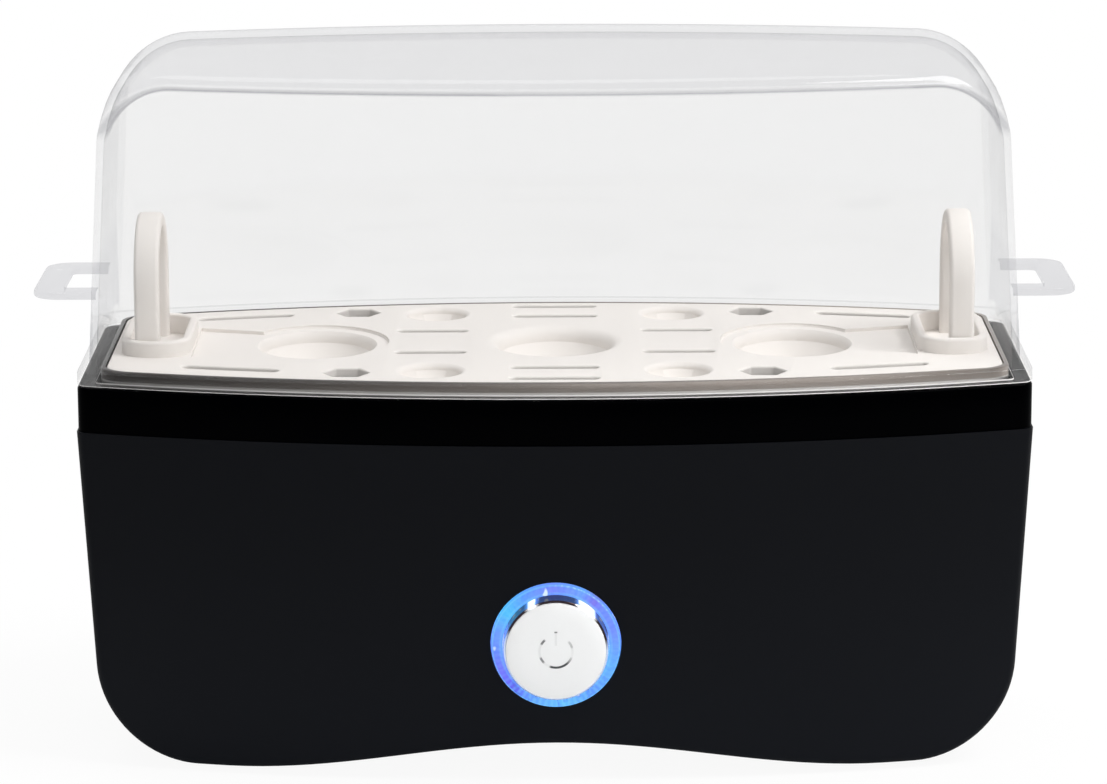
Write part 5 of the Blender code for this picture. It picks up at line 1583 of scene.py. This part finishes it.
    def build(self) -> None:
        """Models the tray in the order of its mould: plate, shells, recesses, arches, hollows and slots."""
        corners = Rounding(EdgeGroup.CORNERS, self.corner, 8)
        rim = Rounding(EdgeGroup.TOP_RIM, self.edge, 3)
        tray = PLAN.block("ivory_tray", (self.bottom, self.top), (self.inset, self.inset), [corners, rim])
        inner = self.inset + self.skirt_wall
        under = (self.bottom - OVERRUN, self.top - self.plate)
        tray.combine(PLAN.block("tray_room", under, (inner, inner), [corners]), Merge.CUT)
        self.shells(tray)
        for side in (-1, 1):
            tray.combine(self.recess(side), Merge.CUT)
            pit = self.oblong(
                side, self.collar_half_width - self.collar_wall, self.collar_half_length - self.collar_wall,
                self.collar_corner - self.collar_wall, self.top - self.pit_depth,
                self.top + self.collar_height - self.flare,
            )
            halves = (self.collar_half_width - self.collar_wall, self.collar_half_length - self.collar_wall)
            self.flare_out(pit, (side * self.collar_x, 0.0, self.top), halves)
            tray.combine(pit, Merge.CUT)
            tray.combine(self.arch(side), Merge.JOIN)
        for side in (-1, 0, 1):
            place = (side * self.cup_spacing, 0.0, self.top)
            hollow = self.hollow("cup_cutter", self.cup_radii, self.cup_depth, place, self.cup_stretch)
            tray.combine(hollow, Merge.CUT)
            low = -self.cup_depth - self.cup_wall - OVERRUN
            drain = [(self.drain_radius, low), (self.drain_radius, -self.cup_depth + 0.001)]
            tray.combine(Workpiece.turned("drain_cutter", drain, 48, place), Merge.CUT)
        for side_x in (-1, 1):
            for side_y in (-1, 1):
                self.cut_quarter(tray, side_x, side_y)
        for side_y in (-1, 1):
            for y in self.middle_slot_ys:
                half_length = self.middle_slot_half_length - self.slot_width / 2
                tray.combine(self.slot(0.0, side_y * y, half_length, self.slot_width), Merge.CUT)
        tray.finish("tray", "ivory_plastic", Finish.IVORY.material(), ["egg_tray"])

    def cut_quarter(self, tray: Workpiece, side_x: int, side_y: int) -> None:
        """Cuts the bowl, hexagon and slots of one quarter of the tray.

        Args:
            tray: the tray.
            side_x: -1 for left, 1 for right.
            side_y: -1 for front, 1 for back.
        """
        place = (side_x * self.bowl_place[0], side_y * self.bowl_place[1], self.top)
        bowl = self.hollow("bowl_cutter", self.bowl_radii, self.bowl_depth, place, self.bowl_stretch)
        tray.combine(bowl, Merge.CUT)
        tray.combine(self.hexagon(side_x * self.hex_place[0], side_y * self.hex_place[1]), Merge.CUT)
        slot_x, slot_y = side_x * self.side_slot[0], side_y * self.side_slot[1]
        tray.combine(self.slot(slot_x, slot_y, self.side_slot_half_length, self.slot_width), Merge.CUT)
        tray.combine(self.end_slot(side_x, side_y), Merge.CUT)


@dataclass
class PushButton:
    """The lit push button: white cap, bright trim and blue ring, all about one leaning axis."""

    cap_radius: float = 0.0127
    cap_proud: float = 0.0050
    cap_lip: float = 0.00035
    cap_crown: float = 0.0004
    cap_skirt: float = 0.0016
    cap_depth: float = 0.0046
    stem_radius: float = 0.0024
    gap: float = 0.0003
    trim_wall: float = 0.0006
    trim_short: float = 0.0008
    trim_soft: float = 0.00015
    trim_flange: float = 0.0016
    trim_flange_thickness: float = 0.0013
    ring_radius: float = 0.0168
    ring_proud: float = 0.0010
    ring_edge: float = 0.0008
    ring_gap: float = 0.0004
    ring_flange: float = 0.0022
    ring_flange_thickness: float = 0.0018
    wall_back: float = -0.00293

    def build(self) -> None:
        """Models the three turned pieces and stands them in the front wall."""
        back = self.cap_proud - self.cap_depth
        radius, proud = self.cap_radius, self.cap_proud
        lip = radius + self.cap_lip
        profile = [(radius, back), (radius, proud - 0.0006), (lip, proud - 0.0005), (lip, proud - 0.0003),
                   (lip - 0.0001, proud - 0.0001), (lip - 0.0003, proud)]
        profile += [(radius * out, proud + self.cap_crown * rise) for out, rise in ((0.75, 0.44), (0.5, 0.75), (0.2, 0.97))]
        cap = Workpiece.turned("white_cap", profile, 128)
        inner = radius - self.cap_skirt
        room = Workpiece.turned("cap_room", [(inner, back - OVERRUN), (inner, proud - self.cap_skirt)], 96)
        cap.combine(room, Merge.CUT)
        low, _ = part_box("button_cap")
        axis_end = (BUTTON_FRAME.inverted() @ Vector((0.0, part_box("button_cap")[1].y, low.z))).z
        stem = [(self.stem_radius, axis_end), (self.stem_radius, proud - self.cap_skirt + 0.0003)]
        cap.combine(Workpiece.turned("cap_stem", stem, 48), Merge.JOIN)
        cap.stand_in(BUTTON_FRAME)
        cap.finish("button", "white_plastic", Finish.CAP.material(), ["button_cap"])

        bore = radius + self.gap
        outer = bore + self.trim_wall
        front = proud - self.trim_short
        ring_seat = self.wall_back - self.gap
        ring_back = ring_seat - self.ring_flange_thickness
        seat = ring_back - self.gap
        trim_back = seat - self.trim_flange_thickness
        flange, soft = outer + self.trim_flange, self.trim_soft
        profile = [(bore, trim_back), (flange, trim_back), (flange, seat), (outer, seat), (outer, front - soft), (outer - soft, front), (bore + soft, front), (bore, front - soft)]
        trim = Workpiece.turned_ring("bright_trim", profile)
        trim.stand_in(BUTTON_FRAME)
        trim.finish("button", "chrome", Finish.CHROME.material(), ["button_trim"])

        bore = outer + self.ring_gap
        ring, top = self.ring_radius, self.ring_proud
        flange = ring + self.ring_flange
        profile = [(bore, ring_back), (flange, ring_back), (flange, ring_seat), (ring, ring_seat),
                   (ring, top - self.ring_edge)]
        for turn in (0.3, 0.6, 0.8):
            profile.append((ring - self.ring_edge * (1 - math.cos(turn * math.pi / 2)),
                            top - self.ring_edge * (1 - math.sin(turn * math.pi / 2))))
        profile += [(ring - self.ring_edge, top), (bore + self.ring_edge / 2, top), (bore, top - self.ring_edge / 2)]
        light = Workpiece.turned_ring("blue_light_ring", profile, 144)
        light.stand_in(BUTTON_FRAME)
        light.finish("base", "lit_blue_plastic", Finish.LIT_RING.material(), ["light_ring"])


@dataclass
class InnerWorks:
    """The CAD nodes that keep their own mesh and only get a finish."""

    finishes: dict[str, Finish] = field(default_factory=lambda: {
        "satin_black": Finish.SATIN_BLACK, "gloss_black": Finish.GLOSS_BLACK, "clear_plastic": Finish.CLEAR,
        "ivory_plastic": Finish.IVORY, "stainless_steel": Finish.STEEL, "cast_aluminium": Finish.ALUMINIUM,
        "grey_silicone": Finish.SILICONE, "black_rubber": Finish.RUBBER, "zinc_steel": Finish.ZINC,
        "white_plastic": Finish.WHITE, "chrome": Finish.CHROME, "lit_blue_plastic": Finish.LIT_RING,
        "board_green": Finish.BOARD, "component_black": Finish.COMPONENT, "led_lens": Finish.LENS,
        "lead_insulation": Finish.LEAD,
    })

    def build(self) -> None:
        """Gives every CAD node the finish of its slot in the record."""
        for entry in frame["record"]["subparts"]:
            material = self.finishes[entry["material_slot"]].material()
            mesh = frame["nodes"][entry["node"]].data
            for index in range(len(mesh.materials)):
                mesh.materials[index] = material
            if not mesh.materials:
                mesh.materials.append(material)
            LOG.info("%s: finish %s", entry["node"], material.name)


@dataclass
class Studio:
    """Plain pale floor, soft lamps, a white surround and the camera."""

    camera_place: Place = (-0.00034, -1.2257, 0.3592)
    camera_tilt: float = math.radians(77.73)
    camera_roll: float = math.radians(-0.25)
    lens: float = 150.9
    floor_half: float = 4.0
    fill: float = 0.40
    behind_camera: float = 0.30
    overhead: float = 0.75

    def build(self) -> None:
        """Sets up the floor, the lamps, the world and the camera."""
        self.floor()
        self.world()
        self.lamp("key_lamp", (0.80, -0.30, 1.2), (0.7, 0.7), 15.0)
        self.lamp("top_lamp", (-0.2, 0.45, 1.6), (1.2, 0.9), 9.0)
        self.lamp("front_lamp", (0.5, -2.0, 0.9), (1.4, 1.0), 7.0)
        self.camera()

    def floor(self) -> None:
        """Lays the pale floor."""
        Workpiece.clear_bench()
        bpy.ops.mesh.primitive_plane_add(size=2 * self.floor_half, location=(0.0, 0.0, -0.0002))
        ground = Workpiece("studio_floor")
        graph = Graph("floor_paper")
        speckle = graph.noise(graph.place(), 300.0)
        paper = graph.principled({
            "Base Color": graph.blend(speckle, (0.93, 0.93, 0.93), (0.95, 0.95, 0.95)), "Roughness": 0.9,
            "Specular IOR Level": 0.1,
        })
        glow = graph.node("ShaderNodeEmission", {}, {"Color": (1.0, 1.0, 1.0), "Strength": 1.0}).outputs[0]
        path = graph.node("ShaderNodeLightPath", {}, {})
        seen = (graph.wire(path, "Is Camera Ray") + graph.wire(path, "Is Transmission Ray")).clamp()
        across, along, _ = graph.axes(graph.place())
        far = (((across * across + along * along) ** 0.5 - 0.16) / 0.4).clamp()
        share = seen * (0.93 + far * 0.07)
        mixed = graph.node("ShaderNodeMixShader", {}, {0: share, 1: paper, 2: glow}).outputs[0]
        ground.body.data.materials.append(graph.surface(mixed))

    def world(self) -> None:
        """Surrounds the scene with white for the camera and softer light for the rest."""
        world = bpy.context.scene.world or bpy.data.worlds.new("studio")
        bpy.context.scene.world = world
        world.use_nodes = True
        tree = world.node_tree
        tree.nodes.clear()
        path = tree.nodes.new("ShaderNodeLightPath")
        seen = Wire(tree, path.outputs["Is Camera Ray"]) + Wire(tree, path.outputs["Is Transmission Ray"])
        glossy = Wire(tree, path.outputs["Is Glossy Ray"])
        parts = tree.nodes.new("ShaderNodeSeparateXYZ")
        tree.links.new(tree.nodes.new("ShaderNodeTexCoord").outputs["Generated"], parts.inputs[0])
        ahead = Wire(tree, parts.outputs[1])
        high = Wire(tree, parts.outputs[2])
        backdrop = (ahead * 1.4 + 0.5).clamp()
        level = self.behind_camera + backdrop * (1.0 - self.behind_camera)
        level = level - high.above(0.75, 0.5) * (1.0 - self.overhead) * backdrop
        strength = seen.clamp() + (1 - seen.clamp()) * (glossy * level + (1 - glossy) * self.fill)
        back = tree.nodes.new("ShaderNodeBackground")
        back.inputs["Color"].default_value = (1.0, 1.0, 1.0, 1.0)
        tree.links.new(strength.socket, back.inputs["Strength"])
        tree.links.new(back.outputs[0], tree.nodes.new("ShaderNodeOutputWorld").inputs["Surface"])

    @staticmethod
    def lamp(name: str, place: Place, size: tuple[float, float], power: float) -> None:
        """Hangs one soft lamp that points at the object.

        Args:
            name: its name.
            place: where it hangs.
            size: its width and height.
            power: its power in watts.
        """
        Workpiece.clear_bench()
        way = Vector((0.0, 0.0, 0.08)) - Vector(place)
        bpy.ops.object.light_add(type="AREA", location=place, rotation=way.to_track_quat("-Z", "Y").to_euler())
        light = bpy.context.active_object
        light.name = name
        light.data.shape = "RECTANGLE"
        light.data.size, light.data.size_y = size
        light.data.energy = power

    def camera(self) -> None:
        """Stands the camera where the photograph was taken from."""
        data = bpy.data.cameras.new("photo_camera")
        data.lens = self.lens
        data.sensor_width = 36.0
        camera = bpy.data.objects.new("photo_camera", data)
        bpy.context.scene.collection.objects.link(camera)
        turn = Matrix.Rotation(self.camera_tilt, 4, "X") @ Matrix.Rotation(self.camera_roll, 4, "Z")
        camera.matrix_world = Matrix.Translation(self.camera_place) @ turn
        bpy.context.scene.camera = camera


def main() -> None:
    """Builds every sub-assembly over the frame."""
    logging.basicConfig(level=logging.INFO, format="%(name)s %(message)s")
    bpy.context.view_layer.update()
    bpy.context.scene.view_settings.view_transform = "Standard"
    Studio().build()
    InnerWorks().build()
    HousingShell().build()
    GlossBand().build()
    WaterDish().build()
    EggTray().build()
    ClearLid().build()
    PushButton().build()
    Workpiece.clear_bench()


if __name__ == "__main__":
    main()
